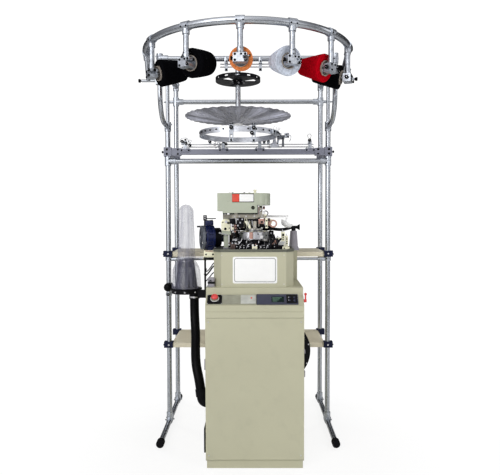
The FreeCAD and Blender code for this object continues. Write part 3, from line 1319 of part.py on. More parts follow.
def left_column():
    """Column on the neck with the two ears and the pin that carry the dial head."""
    left, right = HINGE_X - HINGE_LUG_LEFT, HINGE_X + HINGE_LUG_RIGHT
    low = HINGE_Z - HINGE_LUG_LOW
    post = block(HINGE_X - 15, HINGE_X - 15 + COLUMN_POST_W, -COLUMN_POST_D / 2, COLUMN_POST_D / 2,
                 TRAY_FLOOR, low - 9)
    saddle = block(left, right, -HINGE_LUG_W / 2 - HINGE_EAR_T, HINGE_LUG_W / 2 + HINGE_EAR_T,
                   low - 15, low - 15 + SADDLE_H)
    parts = [post, saddle]
    for y0 in (-HINGE_LUG_W / 2 - HINGE_EAR_T, HINGE_LUG_W / 2):
        y1 = y0 + HINGE_EAR_T
        top = HINGE_Z + HINGE_LUG_TOP
        ear = front_profile([(left, low), (right, low), (right - 4, HINGE_Z), (HINGE_X + 12, top),
                             (HINGE_X - 12, top), (left + 2, HINGE_Z)], y0, y1)
        hole_z = HINGE_Z - EAR_HOLE_DROP
        window = rod(at(HINGE_X + 4, y0 - 1, hole_z), at(HINGE_X + 4, y1 + 1, hole_z), EAR_HOLE_D)
        parts.append(ear.cut(window))
    end = HINGE_LUG_W / 2 + HINGE_EAR_T + 5
    parts.append(rod(at(HINGE_X, -end, HINGE_Z), at(HINGE_X, end, HINGE_Z), HINGE_PIN_D))
    return joined(parts)


def head_plate():
    """Casting under the head cover: hinge lug, flat plate, finger brackets and dial bearing."""
    lug_half = HINGE_LUG_W / 2 - CLEAR
    lug = rod(at(HINGE_X, -lug_half, HINGE_Z), at(HINGE_X, lug_half, HINGE_Z), 2 * HINGE_R)
    rise = block(HINGE_X - HINGE_R, HINGE_X + HINGE_R, -lug_half, lug_half, HINGE_Z, HEAD_PLATE_Z1)
    tongue = block(HINGE_X - HINGE_R, HEAD_PLATE_LEFT + 24, -lug_half, lug_half, HEAD_PLATE_Z0, HEAD_PLATE_Z1)
    plate = block(HEAD_PLATE_LEFT, HEAD_PLATE_RIGHT, -HEAD_PLATE_HALF, HEAD_PLATE_HALF,
                  HEAD_PLATE_Z0, HEAD_PLATE_Z1)
    shaft_r = DIAL_SHAFT_D / 2
    over_dial = DIAL_Z + DIAL_H + BEARING_GAP
    bearing = ring(shaft_r + BEARING_WALL, shaft_r + RUNNING, over_dial, HEAD_PLATE_Z0 + 2)
    skirt = ring(DIAL_D / 2 - 6, shaft_r + BEARING_WALL / 2, over_dial - 2, over_dial + BEARING_WALL)
    posts = [block(x0, x0 + COVER_POST_W, y0, y0 + COVER_POST_D, HEAD_PLATE_Z1 - 1, COVER_SEAT_Z)
             for x0 in COVER_POST_XS for y0 in (-COVER_POST_Y - COVER_POST_D, COVER_POST_Y)]
    ear_left = FINGER_X0 - FINGER_EAR_OUT
    ear_right = FINGER_X0 + FINGER_COUNT * FINGER_PITCH + 3 - FINGER_EAR_T
    ears = [block(x0, x0 + FINGER_EAR_T, FINGER_PIN_Y - 9, FINGER_BAR_Y, FINGER_PIN_Z - 9, HEAD_PLATE_Z0 + 2)
            for x0 in (ear_left, ear_right)]
    ears.append(block(ear_left, ear_right + FINGER_EAR_T, FINGER_BAR_Y - FINGER_BAR_D, FINGER_BAR_Y,
                      HEAD_PLATE_Z0 - FINGER_BAR_H, HEAD_PLATE_Z0 + 2))
    pin = rod(at(ear_left - 4, FINGER_PIN_Y, FINGER_PIN_Z),
              at(ear_right + FINGER_EAR_T + 5, FINGER_PIN_Y, FINGER_PIN_Z), FINGER_PIN_D)
    body = joined([lug, rise, tongue, plate, bearing, skirt, pin] + posts + ears)
    pin_bore = rod(at(HINGE_X, -HINGE_LUG_W, HINGE_Z), at(HINGE_X, HINGE_LUG_W, HINGE_Z),
                   HINGE_PIN_D + 2 * RUNNING)
    shaft_bore = Part.makeCylinder(shaft_r + RUNNING, 2 * HEAD_PLATE_RISE, at(0, 0, DIAL_Z + DIAL_H))
    bar_bore = rod(at(HOOD_BAR_X, HOOD_Y, HOOD_BAR_Z), at(HEAD_PLATE_RIGHT + 1, HOOD_Y, HOOD_BAR_Z),
                   HOOD_BAR_D + 2 * RUNNING)
    return body.cut(pin_bore).cut(shaft_bore).cut(bar_bore)


def head_cover_plan(grow):
    """Plan outline of the head cover, straight sides with a round end, in by grow."""
    r = HEAD_R - grow
    left = HEAD_LEFT_X + grow
    edges = [Part.LineSegment(at(left, -r, 0), at(0, -r, 0)).toShape(),
             Part.Arc(at(0, -r, 0), at(r, 0, 0), at(0, r, 0)).toShape(),
             Part.LineSegment(at(0, r, 0), at(left, r, 0)).toShape(),
             Part.LineSegment(at(left, r, 0), at(left, -r, 0)).toShape()]
    return Part.Face(Part.Wire(edges))


def head_cover():
    """Beige hood of the dial head: open below, stepped lower edge, finger hole in front."""
    outer = head_cover_plan(0.0)
    outer.translate(at(0, 0, HEAD_LOW_Z))
    hood = outer.extrude(UP * (HEAD_TOP_Z - HEAD_LOW_Z))
    inner = head_cover_plan(SHEET)
    inner.translate(at(0, 0, HEAD_LOW_Z - 1))
    hood = hood.cut(inner.extrude(UP * (HEAD_TOP_Z - SHEET - HEAD_LOW_Z + 1)))
    nose = block(HEAD_NOSE_X, HEAD_R + 5, -HEAD_R - 5, HEAD_R + 5, HEAD_LOW_Z - 5, HEAD_NOSE_LOW_Z)
    left = block(HEAD_LEFT_X - 5, HEAD_STEP_X, -HEAD_R - 5, HEAD_R + 5, HEAD_LOW_Z - 5, HEAD_LEFT_LOW_Z)
    hole_z = HEAD_LOW_Z + COVER_HOLE_RISE
    hole = rod(at(COVER_HOLE_X, -HEAD_R - 5, hole_z), at(COVER_HOLE_X, -HEAD_R + 6, hole_z), COVER_HOLE_D)
    hood = hood.cut(nose).cut(left).cut(hole)
    feet = []
    for x0 in COVER_POST_XS:
        for y0, y1 in ((-HEAD_R + 1, -COVER_POST_Y), (COVER_POST_Y, HEAD_R - 1)):
            feet.append(block(x0 + 2, x0 + COVER_POST_W - 2, y0, y1,
                              COVER_SEAT_Z, COVER_SEAT_Z + COVER_FOOT_T))
    screws = [Part.makeCylinder(COVER_SCREW_D / 2, COVER_SCREW_H, at(x, -30, HEAD_TOP_Z))
              for x in COVER_SCREW_XS]
    return joined([hood] + screws + feet)


def dial():
    """Toothed dial over the cylinder on its upright shaft."""
    disc = Part.makeCylinder(DIAL_D / 2, DIAL_H, at(0, 0, DIAL_Z))
    tooth = block(-DIAL_TOOTH_W / 2, DIAL_TOOTH_W / 2, -DIAL_D / 2 - 1, -DIAL_D / 2 + DIAL_TOOTH_DEPTH,
                  DIAL_Z - 1, DIAL_Z + DIAL_H + 1)
    cuts = [spun(tooth, 360 / DIAL_TEETH * i) for i in range(DIAL_TEETH)]
    hub = Part.makeCylinder(DIAL_SHAFT_D / 2 + 6, DIAL_HUB_H, at(0, 0, DIAL_Z + DIAL_H - 1))
    shaft = Part.makeCylinder(DIAL_SHAFT_D / 2, HEAD_PLATE_Z1 + 20 - DIAL_Z, at(0, 0, DIAL_Z))
    return joined([disc.cut(Part.makeCompound(cuts)), hub, shaft])


def yarn_finger(index):
    """Curved yarn finger on the common pin: eye at its tip, tail above the pin."""
    x = FINGER_X0 + index * FINGER_PITCH
    y, z = FINGER_PIN_Y, FINGER_PIN_Z
    outer = [at(x, y - 9, z + 4), at(x, y - 15, z - 22), at(x, y + 8, z - 37)]
    inner = [at(x, y + 14, z - 33), at(x, y - 4, z - 20), at(x, y + 8, z - 4)]
    edges = [Part.Arc(*outer).toShape(), Part.LineSegment(outer[2], inner[0]).toShape(),
             Part.Arc(*inner).toShape(),
             Part.LineSegment(inner[2], at(x, y + 6, z + 12)).toShape(),
             Part.LineSegment(at(x, y + 6, z + 12), at(x, y - 8, z + 12)).toShape(),
             Part.LineSegment(at(x, y - 8, z + 12), outer[0]).toShape()]
    blade = Part.Face(Part.Wire(edges)).extrude(RIGHT * FINGER_T)
    bore = rod(at(x - 1, y, z), at(x + FINGER_T + 1, y, z), FINGER_PIN_D + 2 * RUNNING)
    return blade.cut(bore)


def yarn_fingers():
    return group([yarn_finger(index) for index in range(FINGER_COUNT)])


# ---------------------------------------------------------------- drive
def motor_place(shape):
    """Local +X runs from the motor's fixed end to its hand wheel end."""
    return placed(shape, at(MOTOR_END_X, MOTOR_Y, MOTOR_Z), 180 + MOTOR_YAW)


def drive_motor():
    """Motor body with cooling fins, end shields and shaft stub."""
    r = MOTOR_D / 2
    core = rod(at(0, 0, 0), at(MOTOR_L, 0, 0), 2 * r - 12)
    shields = [rod(at(x, 0, 0), at(x + MOTOR_SHIELD_L, 0, 0), 2 * r - 2)
               for x in (0, MOTOR_L - MOTOR_SHIELD_L)]
    fin = block(MOTOR_SHIELD_L, MOTOR_L - MOTOR_SHIELD_L, -FIN_T / 2, FIN_T / 2, r - FIN_H, r)
    fins = []
    for i in range(MOTOR_FINS):
        copy = fin.copy()
        copy.rotate(at(0, 0, 0), RIGHT, 360 / MOTOR_FINS * i)
        fins.append(copy)
    gear_end = rod(at(-GEAR_L, 0, 0), at(1, 0, 0), GEAR_D)
    gear_nose = rod(at(-GEAR_L - GEAR_NOSE_L, 0, 0), at(-GEAR_L + 1, 0, 0), GEAR_D / 2)
    nose = rod(at(MOTOR_L - 1, 0, 0), at(MOTOR_L + MOTOR_NOSE_L, 0, 0), MOTOR_NOSE_D)
    foot = block(MOTOR_SHIELD_L, MOTOR_L - MOTOR_SHIELD_L, -MOTOR_FOOT_W / 2, MOTOR_FOOT_W / 2,
                 -r - 2, -r - 2 + MOTOR_FOOT_H)
    bore = rod(at(MOTOR_L - STUB_L - 4, 0, 0), at(MOTOR_L + 2 * MOTOR_NOSE_L, 0, 0),
               MOTOR_SHAFT_D + 2 * RUNNING)
    return motor_place(joined([core] + shields + fins + [gear_end, gear_nose, nose, foot]).cut(bore))


def hand_wheel():
    """Spoked hand wheel with its shaft stub in the motor."""
    r = WHEEL_D / 2
    x0 = MOTOR_L + WHEEL_GAP
    rim = rod(at(x0, 0, 0), at(x0 + WHEEL_T, 0, 0), 2 * r)
    rim = rim.cut(rod(at(x0 - 1, 0, 0), at(x0 + WHEEL_T + 1, 0, 0), 2 * (r - WHEEL_RIM)))
    hub = rod(at(x0, 0, 0), at(x0 + WHEEL_T + 4, 0, 0), WHEEL_HUB_D)
    spoke = block(x0 + WHEEL_SPOKE_INSET, x0 + WHEEL_T - WHEEL_SPOKE_INSET, -WHEEL_SPOKE_W / 2,
                  WHEEL_SPOKE_W / 2, WHEEL_HUB_D / 3, r - WHEEL_RIM + 2)
    spokes = []
    for i in range(WHEEL_SPOKES):
        copy = spoke.copy()
        copy.rotate(at(0, 0, 0), RIGHT, 360 / WHEEL_SPOKES * i)
        spokes.append(copy)
    stub = rod(at(MOTOR_L - STUB_L, 0, 0), at(x0 + 2, 0, 0), MOTOR_SHAFT_D)
    return motor_place(joined([rim, hub, stub] + spokes))


def motor_bracket():
    """Cast console from the neck's left side under the motor."""
    top = MOTOR_Z - MOTOR_D / 2 - 2
    neck_left = NECK_X - NECK_W / 2
    low = top - CONSOLE_H
    back = CONSOLE_Y + CONSOLE_W
    outer = block(CONSOLE_LEFT_X, neck_left, CONSOLE_Y, back, low, top)
    room = block(CONSOLE_LEFT_X + CONSOLE_WALL, neck_left - CONSOLE_WALL - 2, CONSOLE_Y - CONSOLE_WALL,
                 back - CONSOLE_WALL, low + CONSOLE_WALL, top - CONSOLE_WALL - 2)
    plate = block(CONSOLE_LEFT_X - CONSOLE_WALL, neck_left, CONSOLE_Y - 4, back + 4,
                  low - CONSOLE_PLATE_T, low)
    return joined([outer.cut(room), plate])


# ---------------------------------------------------------------- right-hand guides
def rear_column():
    """Tapered post on the rear housing, with a flared foot."""
    low = REAR_BOX_TOP_Z
    profile = [(0, low), (COLUMN_FOOT_D / 2, low), (COLUMN_FOOT_D / 2, low + COLUMN_FOOT_H),
               (COLUMN_FLARE_D / 2, low + COLUMN_FLARE_H), (COLUMN_TOP_D / 2, COLUMN_TOP_Z),
               (0, COLUMN_TOP_Z)]
    return turned(profile, COLUMN_X, COLUMN_Y)


def suction_arm():
    """Curved black suction tube to its flared nozzle, carried on the rear column."""
    end_x = COLUMN_X + NOZZLE_REACH
    start = [(x, y, NOZZLE_Z - drop) for x, y, drop in SUCTION_POINTS]
    wire = route(start + [(COLUMN_X - 10, COLUMN_Y, NOZZLE_Z), (end_x, COLUMN_Y, NOZZLE_Z)])
    tube = swept(wire, SUCTION_D)
    flare = Part.makeCone(SUCTION_D / 2, NOZZLE_D / 2, NOZZLE_L, at(end_x - 12, COLUMN_Y, NOZZLE_Z), RIGHT)
    foot = Part.makeCylinder(14, SUCTION_D, at(COLUMN_X, COLUMN_Y, COLUMN_TOP_Z))
    mouth = Part.makeCone(SUCTION_D / 4, NOZZLE_D / 2 - 4, NOZZLE_L,
                          at(end_x - 11.5, COLUMN_Y, NOZZLE_Z), RIGHT)
    return joined([tube, flare, foot]).cut(mouth)


def thread_hood():
    """White cup-shaped thread hood on a slim rod from the head plate's right side."""
    cup = turned(HOOD_PROFILE)
    cup.rotate(at(0, 0, 0), BACK, HOOD_LEAN)
    cup.translate(at(HOOD_X, HOOD_Y, HOOD_BAR_Z - HOOD_DROP))
    end = at(HOOD_X + HOOD_STEM_X, HOOD_Y, HOOD_BAR_Z)
    stem = rod(at(HOOD_X + 1, HOOD_Y, HOOD_BAR_Z - HOOD_DROP + 1), end, HOOD_STEM_D)
    bar = rod(at(HOOD_BAR_X + CLEAR, HOOD_Y, HOOD_BAR_Z), end, HOOD_BAR_D)
    return joined([cup, stem, bar, Part.makeSphere(HOOD_KNOB_D / 2, end)])


# ---------------------------------------------------------------- sock receiver and hose
def receiver_tube():
    """Clear dome with a flared foot, closed above and open below."""
    def wall(shrink, low):
        top = RECEIVER_TOP_Z - shrink
        crown = RECEIVER_PROFILE[-1][0]
        points = [(0, low), (RECEIVER_PROFILE[0][0] - shrink, low)]
        points += [(r - shrink, RECEIVER_BASE_Z + height) for r, height in RECEIVER_PROFILE]
        points += [((crown - shrink) * math.cos(a), top - crown + crown * math.sin(a))
                   for a in (math.radians(d) for d in (10, 30, 50, 70))]
        points += [(0, top)]
        return turned(points, RECEIVER_X, RECEIVER_Y)
    return wall(0.0, RECEIVER_BASE_Z).cut(wall(RECEIVER_WALL, RECEIVER_BASE_Z - 1))


def receiver_cone():
    """Dark inner cone that the socks drop past, standing on the base."""
    low = RECEIVER_BASE_Z
    top = low + INNER_CONE_H
    outer = turned([(0, low), (INNER_CONE_R, low), (INNER_CONE_TOP_R, top), (0, top)], RECEIVER_X, RECEIVER_Y)
    inner = turned([(0, low - 1), (INNER_CONE_R - INNER_CONE_WALL, low - 1),
                    (INNER_CONE_TOP_R - INNER_CONE_WALL, top + 1), (0, top + 1)], RECEIVER_X, RECEIVER_Y)
    return outer.cut(inner)


def receiver_base():
    """Black base with the hose collar below, a clamp on the upright and a stay to the cabinet."""
    low = RECEIVER_BASE_Z - BASE_H
    base = Part.makeCylinder(BASE_R, BASE_H, at(RECEIVER_X, RECEIVER_Y, low))
    collar_low = HOSE_POINTS[0][2]
    collar = Part.makeCylinder(HOSE_D / 2 + 4, low + 2 - collar_low, at(COLLAR_X, RECEIVER_Y, collar_low))
    clamp = rod(at(CREEL_LEFT, FRONT_Y - 46, low + 24), at(CREEL_LEFT, FRONT_Y + 26, low + 24),
                RECEIVER_KNOB_D)
    arm = plan([(CREEL_LEFT + 4, FRONT_Y - 24), (CREEL_LEFT + 24, FRONT_Y - 4),
                (RECEIVER_X - 30, RECEIVER_Y + 84), (RECEIVER_X - 74, RECEIVER_Y + 50)], low + 8, low + 28)
    post_y = RECEIVER_Y - THREAD_POST_IN
    stay = block(RECEIVER_X + STAY_FROM, -CABINET_X - 4, post_y - STAY_W / 2, post_y + STAY_W / 2,
                 low + 24 - STAY_H, low + 24)
    flange_y = RECEIVER_Y - 4
    flange = block(-CABINET_X - STAY_FLANGE_T, -CABINET_X, flange_y - STAY_FLANGE_W, flange_y,
                   low + 30 - STAY_FLANGE_H, low + 30)
    post_top = RECEIVER_TOP_Z - THREAD_POST_DROP
    post = rod(at(THREAD_POST_X, post_y, low + 22), at(THREAD_POST_X, post_y, post_top), THREAD_POST_D)
    head = block(THREAD_POST_X - 10, THREAD_POST_X + 12, post_y - 10, post_y + 10,
                 post_top - 28, post_top + 6)
    finger_z = post_top - 16
    finger = rod(at(THREAD_POST_X, post_y, finger_z),
                 at(THREAD_POST_X + THREAD_FINGER_L, post_y, finger_z), THREAD_FINGER_D)
    solid = joined([base, collar, clamp, arm, stay, flange, post, head, finger])
    throat = Part.makeCylinder(HOSE_D / 2 - HOSE_WALL, RECEIVER_BASE_Z - THROAT_DROP - collar_low + 1,
                               at(COLLAR_X, RECEIVER_Y, collar_low - 1))
    sump = Part.makeCylinder(SUMP_D / 2, SUMP_H, at(RECEIVER_X, RECEIVER_Y, RECEIVER_BASE_Z - SUMP_H))
    clamp_bore = rod(at(CREEL_LEFT, FRONT_Y, low - RECEIVER_KNOB_D),
                     at(CREEL_LEFT, FRONT_Y, low + 2 * RECEIVER_KNOB_D), TUBE_D + 2 * FIT_GAP)
    return solid.cut(throat).cut(sump).cut(clamp_bore)


def suction_hose():
    wire = route(HOSE_POINTS)
    hose = bent_pipe(wire, HOSE_D, HOSE_WALL)
    ideal = math.pi * ((HOSE_D / 2) ** 2 - (HOSE_D / 2 - HOSE_WALL) ** 2) * wire.Length
    knots = [at(*p) for p in HOSE_POINTS]
    radii = [round(arc_radius(*trio)) for trio in zip(knots, knots[1:], knots[2:])]
    print("hose length", round(wire.Length), "radii", radii, "volume ratio", round(hose.Volume / ideal, 4))
    return hose


def hose_elbow():
    """Rigid elbow: a cuff over the hose end, a bend and a flange on the cabinet's side."""
    end = at(*HOSE_POINTS[-1])
    heading = (end - at(*HOSE_POINTS[-2])).normalize()
    corner_drop = (end.z - ELBOW_Z) / -heading.z
    corner = end + heading * corner_drop
    wall_point = at(-CABINET_X - CLEAR, corner.y, ELBOW_Z)
    wire = route([tuple(end), tuple(corner), tuple(wall_point)], ELBOW_R)
    bend = swept(wire, HOSE_D)
    cuff = rod(end - heading * CUFF_L, end + heading * 10, HOSE_D + CUFF_OVER)
    flange = rod(wall_point - RIGHT * ELBOW_FLANGE_T, wall_point, HOSE_D + ELBOW_FLANGE_OVER)
    solid = joined([bend, cuff, flange])
    cuff_bore = rod(end - heading * (CUFF_L + 6), end, HOSE_D + 2 * CLEAR)
    inner = swept(wire, HOSE_D - 2 * HOSE_WALL)
    return solid.cut(cuff_bore).cut(inner)


def air_duct():
    """Flat grey duct up the cabinet's left side, held by a clip."""
    outer = block(-CABINET_X - DUCT_T, -CABINET_X - CLEAR, DUCT_Y, DUCT_Y + DUCT_W, DUCT_LOW_Z, DUCT_TOP_Z)
    return outer.makeFillet(DUCT_EDGE_R, [e for e in outer.Edges if abs(e.tangentAt(0).z) > 0.9
                                          and e.BoundBox.XMax < -CABINET_X - DUCT_T / 2])


# ---------------------------------------------------------------- fan
def fan_housing():
    """Round fan casing on the cabinet's back: closed front, inlet hole behind, outlet duct up."""
    y0 = CABINET_BACK
    y1 = y0 + FAN_W
    centre0 = at(FAN_X, y0, FAN_Z)
    drum = Part.makeCylinder(FAN_R, FAN_W, centre0, BACK)
    left = FAN_X - FAN_R
    duct = block(left, left + FAN_OUTLET_W, y0, y1, FAN_Z, FAN_Z + FAN_OUTLET_H)
    hollow = Part.makeCylinder(FAN_R - SHEET, FAN_W - 2 * SHEET, at(FAN_X, y0 + SHEET, FAN_Z), BACK)
    duct_room = block(left + SHEET, left + FAN_OUTLET_W - SHEET, y0 + SHEET, y1 - SHEET,
                      FAN_Z, FAN_Z + FAN_OUTLET_H + 1)
    inlet = Part.makeCylinder(FAN_INLET_R, 20, at(FAN_X, y1 - 10, FAN_Z), BACK)
    bearing = rod(at(FAN_X, y0, FAN_Z), at(FAN_X, y0 + FAN_BEARING_L, FAN_Z), FAN_BEARING_D)
    bore = rod(at(FAN_X, y0 + SHEET, FAN_Z), at(FAN_X, y0 + FAN_GAP, FAN_Z), FAN_SHAFT_D + 2 * RUNNING)
    shell = joined([drum, duct]).cut(joined([hollow, duct_room])).cut(inlet)
    return joined([shell, bearing]).cut(bore)


def fan_impeller():
    """Back plate with straight radial blades on a stub shaft."""
    y0 = CABINET_BACK
    plate_y = y0 + FAN_GAP
    plate = Part.makeCylinder(FAN_PLATE_R, FAN_PLATE_T, at(FAN_X, plate_y, FAN_Z), BACK)
    hub = Part.makeCylinder(FAN_HUB_D / 2, FAN_HUB_L, at(FAN_X, plate_y, FAN_Z), BACK)
    stub = rod(at(FAN_X, y0 + SHEET + 2, FAN_Z), at(FAN_X, plate_y + 2, FAN_Z), FAN_SHAFT_D)
    blade = block(FAN_X + BLADE_IN_R, FAN_X + BLADE_OUT_R, plate_y + 2, plate_y + BLADE_W,
                  FAN_Z - BLADE_T / 2, FAN_Z + BLADE_T / 2)
    blades = []
    for i in range(FAN_BLADES):
        copy = blade.copy()
        copy.rotate(at(FAN_X, 0, FAN_Z), BACK, 360 / FAN_BLADES * i)
        blades.append(copy)
    return joined([plate, hub, stub] + blades)


PARTS = {
    "floor_tubes": floor_tubes,
    "tube_caps": tube_caps,
    "tube_joints": tube_joints,
    "front_uprights": front_uprights,
    "back_uprights": back_uprights,
    "crossbars": crossbars,
    "support_arms": support_arms,
    "creel_ring": creel_ring,
    "ring_posts": ring_posts,
    "cone_hangers": cone_hangers,
    "cone_tubes": cone_tubes,
    "yarn_cone_black_left": lambda: yarn_cone("black_left", HANGER_DEGS[0]),
    "yarn_cone_black_front": lambda: yarn_cone("black_front", HANGER_DEGS[1]),
    "yarn_cone_orange": lambda: yarn_cone("orange", HANGER_DEGS[2]),
    "yarn_cone_grey": lambda: yarn_cone("grey", HANGER_DEGS[3]),
    "yarn_cone_red": lambda: yarn_cone("red", HANGER_DEGS[4]),
    "yarn_cone_black_right": lambda: yarn_cone("black_right", HANGER_DEGS[5]),
    "centre_shaft": centre_shaft,
    "yarn_wheel": yarn_wheel,
    "lint_dish": lint_dish,
    "dish_hub": dish_hub,
    "beam_bars": beam_bars,
    "beam_brackets": beam_brackets,
    "yarn_rods": yarn_rods,
    "guide_ring": guide_ring,
    "guide_holders": guide_holders,
    "clamp_knobs": clamp_knobs,
    "shelves": lambda: group([shelf(top_z) for top_z in (SHELF_UPPER_Z, SHELF_LOWER_Z)]),
    "shelf_clamps": shelf_clamps,
    "cabinet": cabinet,
    "front_cover": front_cover,
    "control_panel": control_panel,
    "stop_button": stop_button,
    "display_unit": display_unit,
    "side_lever": side_lever,
    "neck_housing": neck_housing,
    "neck_tray": neck_tray,
    "needle_cylinder": needle_cylinder,
    "sinker_cap": sinker_cap,
    "cam_box": cam_box,
    "cam_blocks": cam_blocks,
    "left_column": left_column,
    "head_plate": head_plate,
    "head_cover": head_cover,
    "dial": dial,
    "yarn_fingers": yarn_fingers,
    "drive_motor": drive_motor,
    "hand_wheel": hand_wheel,
    "motor_bracket": motor_bracket,
    "rear_column": rear_column,
    "suction_arm": suction_arm,
    "thread_hood": thread_hood,
    "receiver_tube": receiver_tube,
    "receiver_cone": receiver_cone,
    "receiver_base": receiver_base,
    "suction_hose": suction_hose,
    "hose_elbow": hose_elbow,
    "air_duct": air_duct,
    "fan_housing": fan_housing,
    "fan_impeller": fan_impeller,
}


def main():
    os.makedirs("parts", exist_ok=True)
    for name, build in PARTS.items():
        shape = build()
        shape.exportStep(f"parts/{name}.step")
        print(name, "solids", len(shape.Solids), "valid", shape.isValid(), "litres",
              round(shape.Volume / 1e6, 3))


main()
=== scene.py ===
import math
import bmesh
import bpy
from mathutils import Matrix, Vector


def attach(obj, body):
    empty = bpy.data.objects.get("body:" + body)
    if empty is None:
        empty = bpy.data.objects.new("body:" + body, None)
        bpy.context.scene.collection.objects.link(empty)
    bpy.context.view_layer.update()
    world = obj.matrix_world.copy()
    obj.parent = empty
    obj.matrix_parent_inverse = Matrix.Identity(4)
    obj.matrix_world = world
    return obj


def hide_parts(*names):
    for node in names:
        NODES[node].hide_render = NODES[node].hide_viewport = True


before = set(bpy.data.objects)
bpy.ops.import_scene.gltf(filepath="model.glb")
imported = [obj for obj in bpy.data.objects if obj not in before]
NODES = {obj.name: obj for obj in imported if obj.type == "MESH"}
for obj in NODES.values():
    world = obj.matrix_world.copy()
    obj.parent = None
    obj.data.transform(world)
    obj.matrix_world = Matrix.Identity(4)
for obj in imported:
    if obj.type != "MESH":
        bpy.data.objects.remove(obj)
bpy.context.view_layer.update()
MM = 0.001
UP = Vector((0, 0, 1))
FRONT = (0, -1, 0)
TRAY = 1241.2  # mm, top of the tray


# ------------------------------------------------------------------ camera, first of all
EYE = (-0.0151, -3.4175, 1.4331)
LOOKS = (-0.00338, 0.99932, -0.03676)
RIGHTWARDS = (0.99999, 0.0033, -0.00197)
LENS_MM, SENSOR_MM = 40.0, 36.0


def make_camera():
    """The camera that was fitted to the photo."""
    forward, right = Vector(LOOKS).normalized(), Vector(RIGHTWARDS).normalized()
    turn = Matrix((right, right.cross(forward), -forward)).transposed().to_4x4()
    data = bpy.data.cameras.new("camera")
    data.lens, data.sensor_width = LENS_MM, SENSOR_MM
    data.clip_start, data.clip_end = 0.05, 60.0
    camera = bpy.data.objects.new("camera", data)
    camera.matrix_world = Matrix.Translation(EYE) @ turn
    bpy.context.scene.collection.objects.link(camera)
    bpy.context.scene.camera = camera


make_camera()


# ------------------------------------------------------------------ materials
def srgb(red, green, blue):
    """Colour from 0 to 255, as a picture has it, in linear light."""
    def linear(v):
        v /= 255.0
        return v / 12.92 if v <= 0.04045 else ((v + 0.055) / 1.055) ** 2.4
    return (linear(red), linear(green), linear(blue), 1.0)


def shade(colour, factor):
    """The colour made lighter or darker."""
    return tuple(min(1.0, c * factor) for c in colour[:3]) + (1.0,)


class Graph:
    """Shader nodes of a material or of the world, and short ways to make and join them."""

    def __init__(self, tree):
        self.tree = tree

    def node(self, kind, **settings):
        made = self.tree.nodes.new("ShaderNode" + kind)
        for key, value in settings.items():
            setattr(made, key, value)
        return made

    def feed(self, target, value):
        """Joins an output to the input, or writes a plain value into it."""
        if isinstance(value, (int, float, tuple)):
            target.default_value = value
        else:
            self.tree.links.new(value, target)

    def spread(self, value, low, high, out_low, out_high, **settings):
        made = self.node("MapRange", **settings)
        for index, number in enumerate((value, low, high, out_low, out_high)):
            self.feed(made.inputs[index], number)
        return made.outputs[0]

    def math(self, operation, *values):
        made = self.node("Math", operation=operation)
        for slot, value in zip(made.inputs, values):
            self.feed(slot, value)
        return made.outputs[0]

    def blend(self, factor, first, second):
        """Shader that goes from the first to the second with the factor."""
        made = self.node("MixShader")
        for slot, value in zip(made.inputs, (factor, first, second)):
            self.feed(slot, value)
        return made.outputs[0]

    def background(self, colour, strength):
        made = self.node("Background")
        for slot, value in zip(made.inputs, (colour, strength)):
            self.feed(slot, value)
        return made.outputs[0]


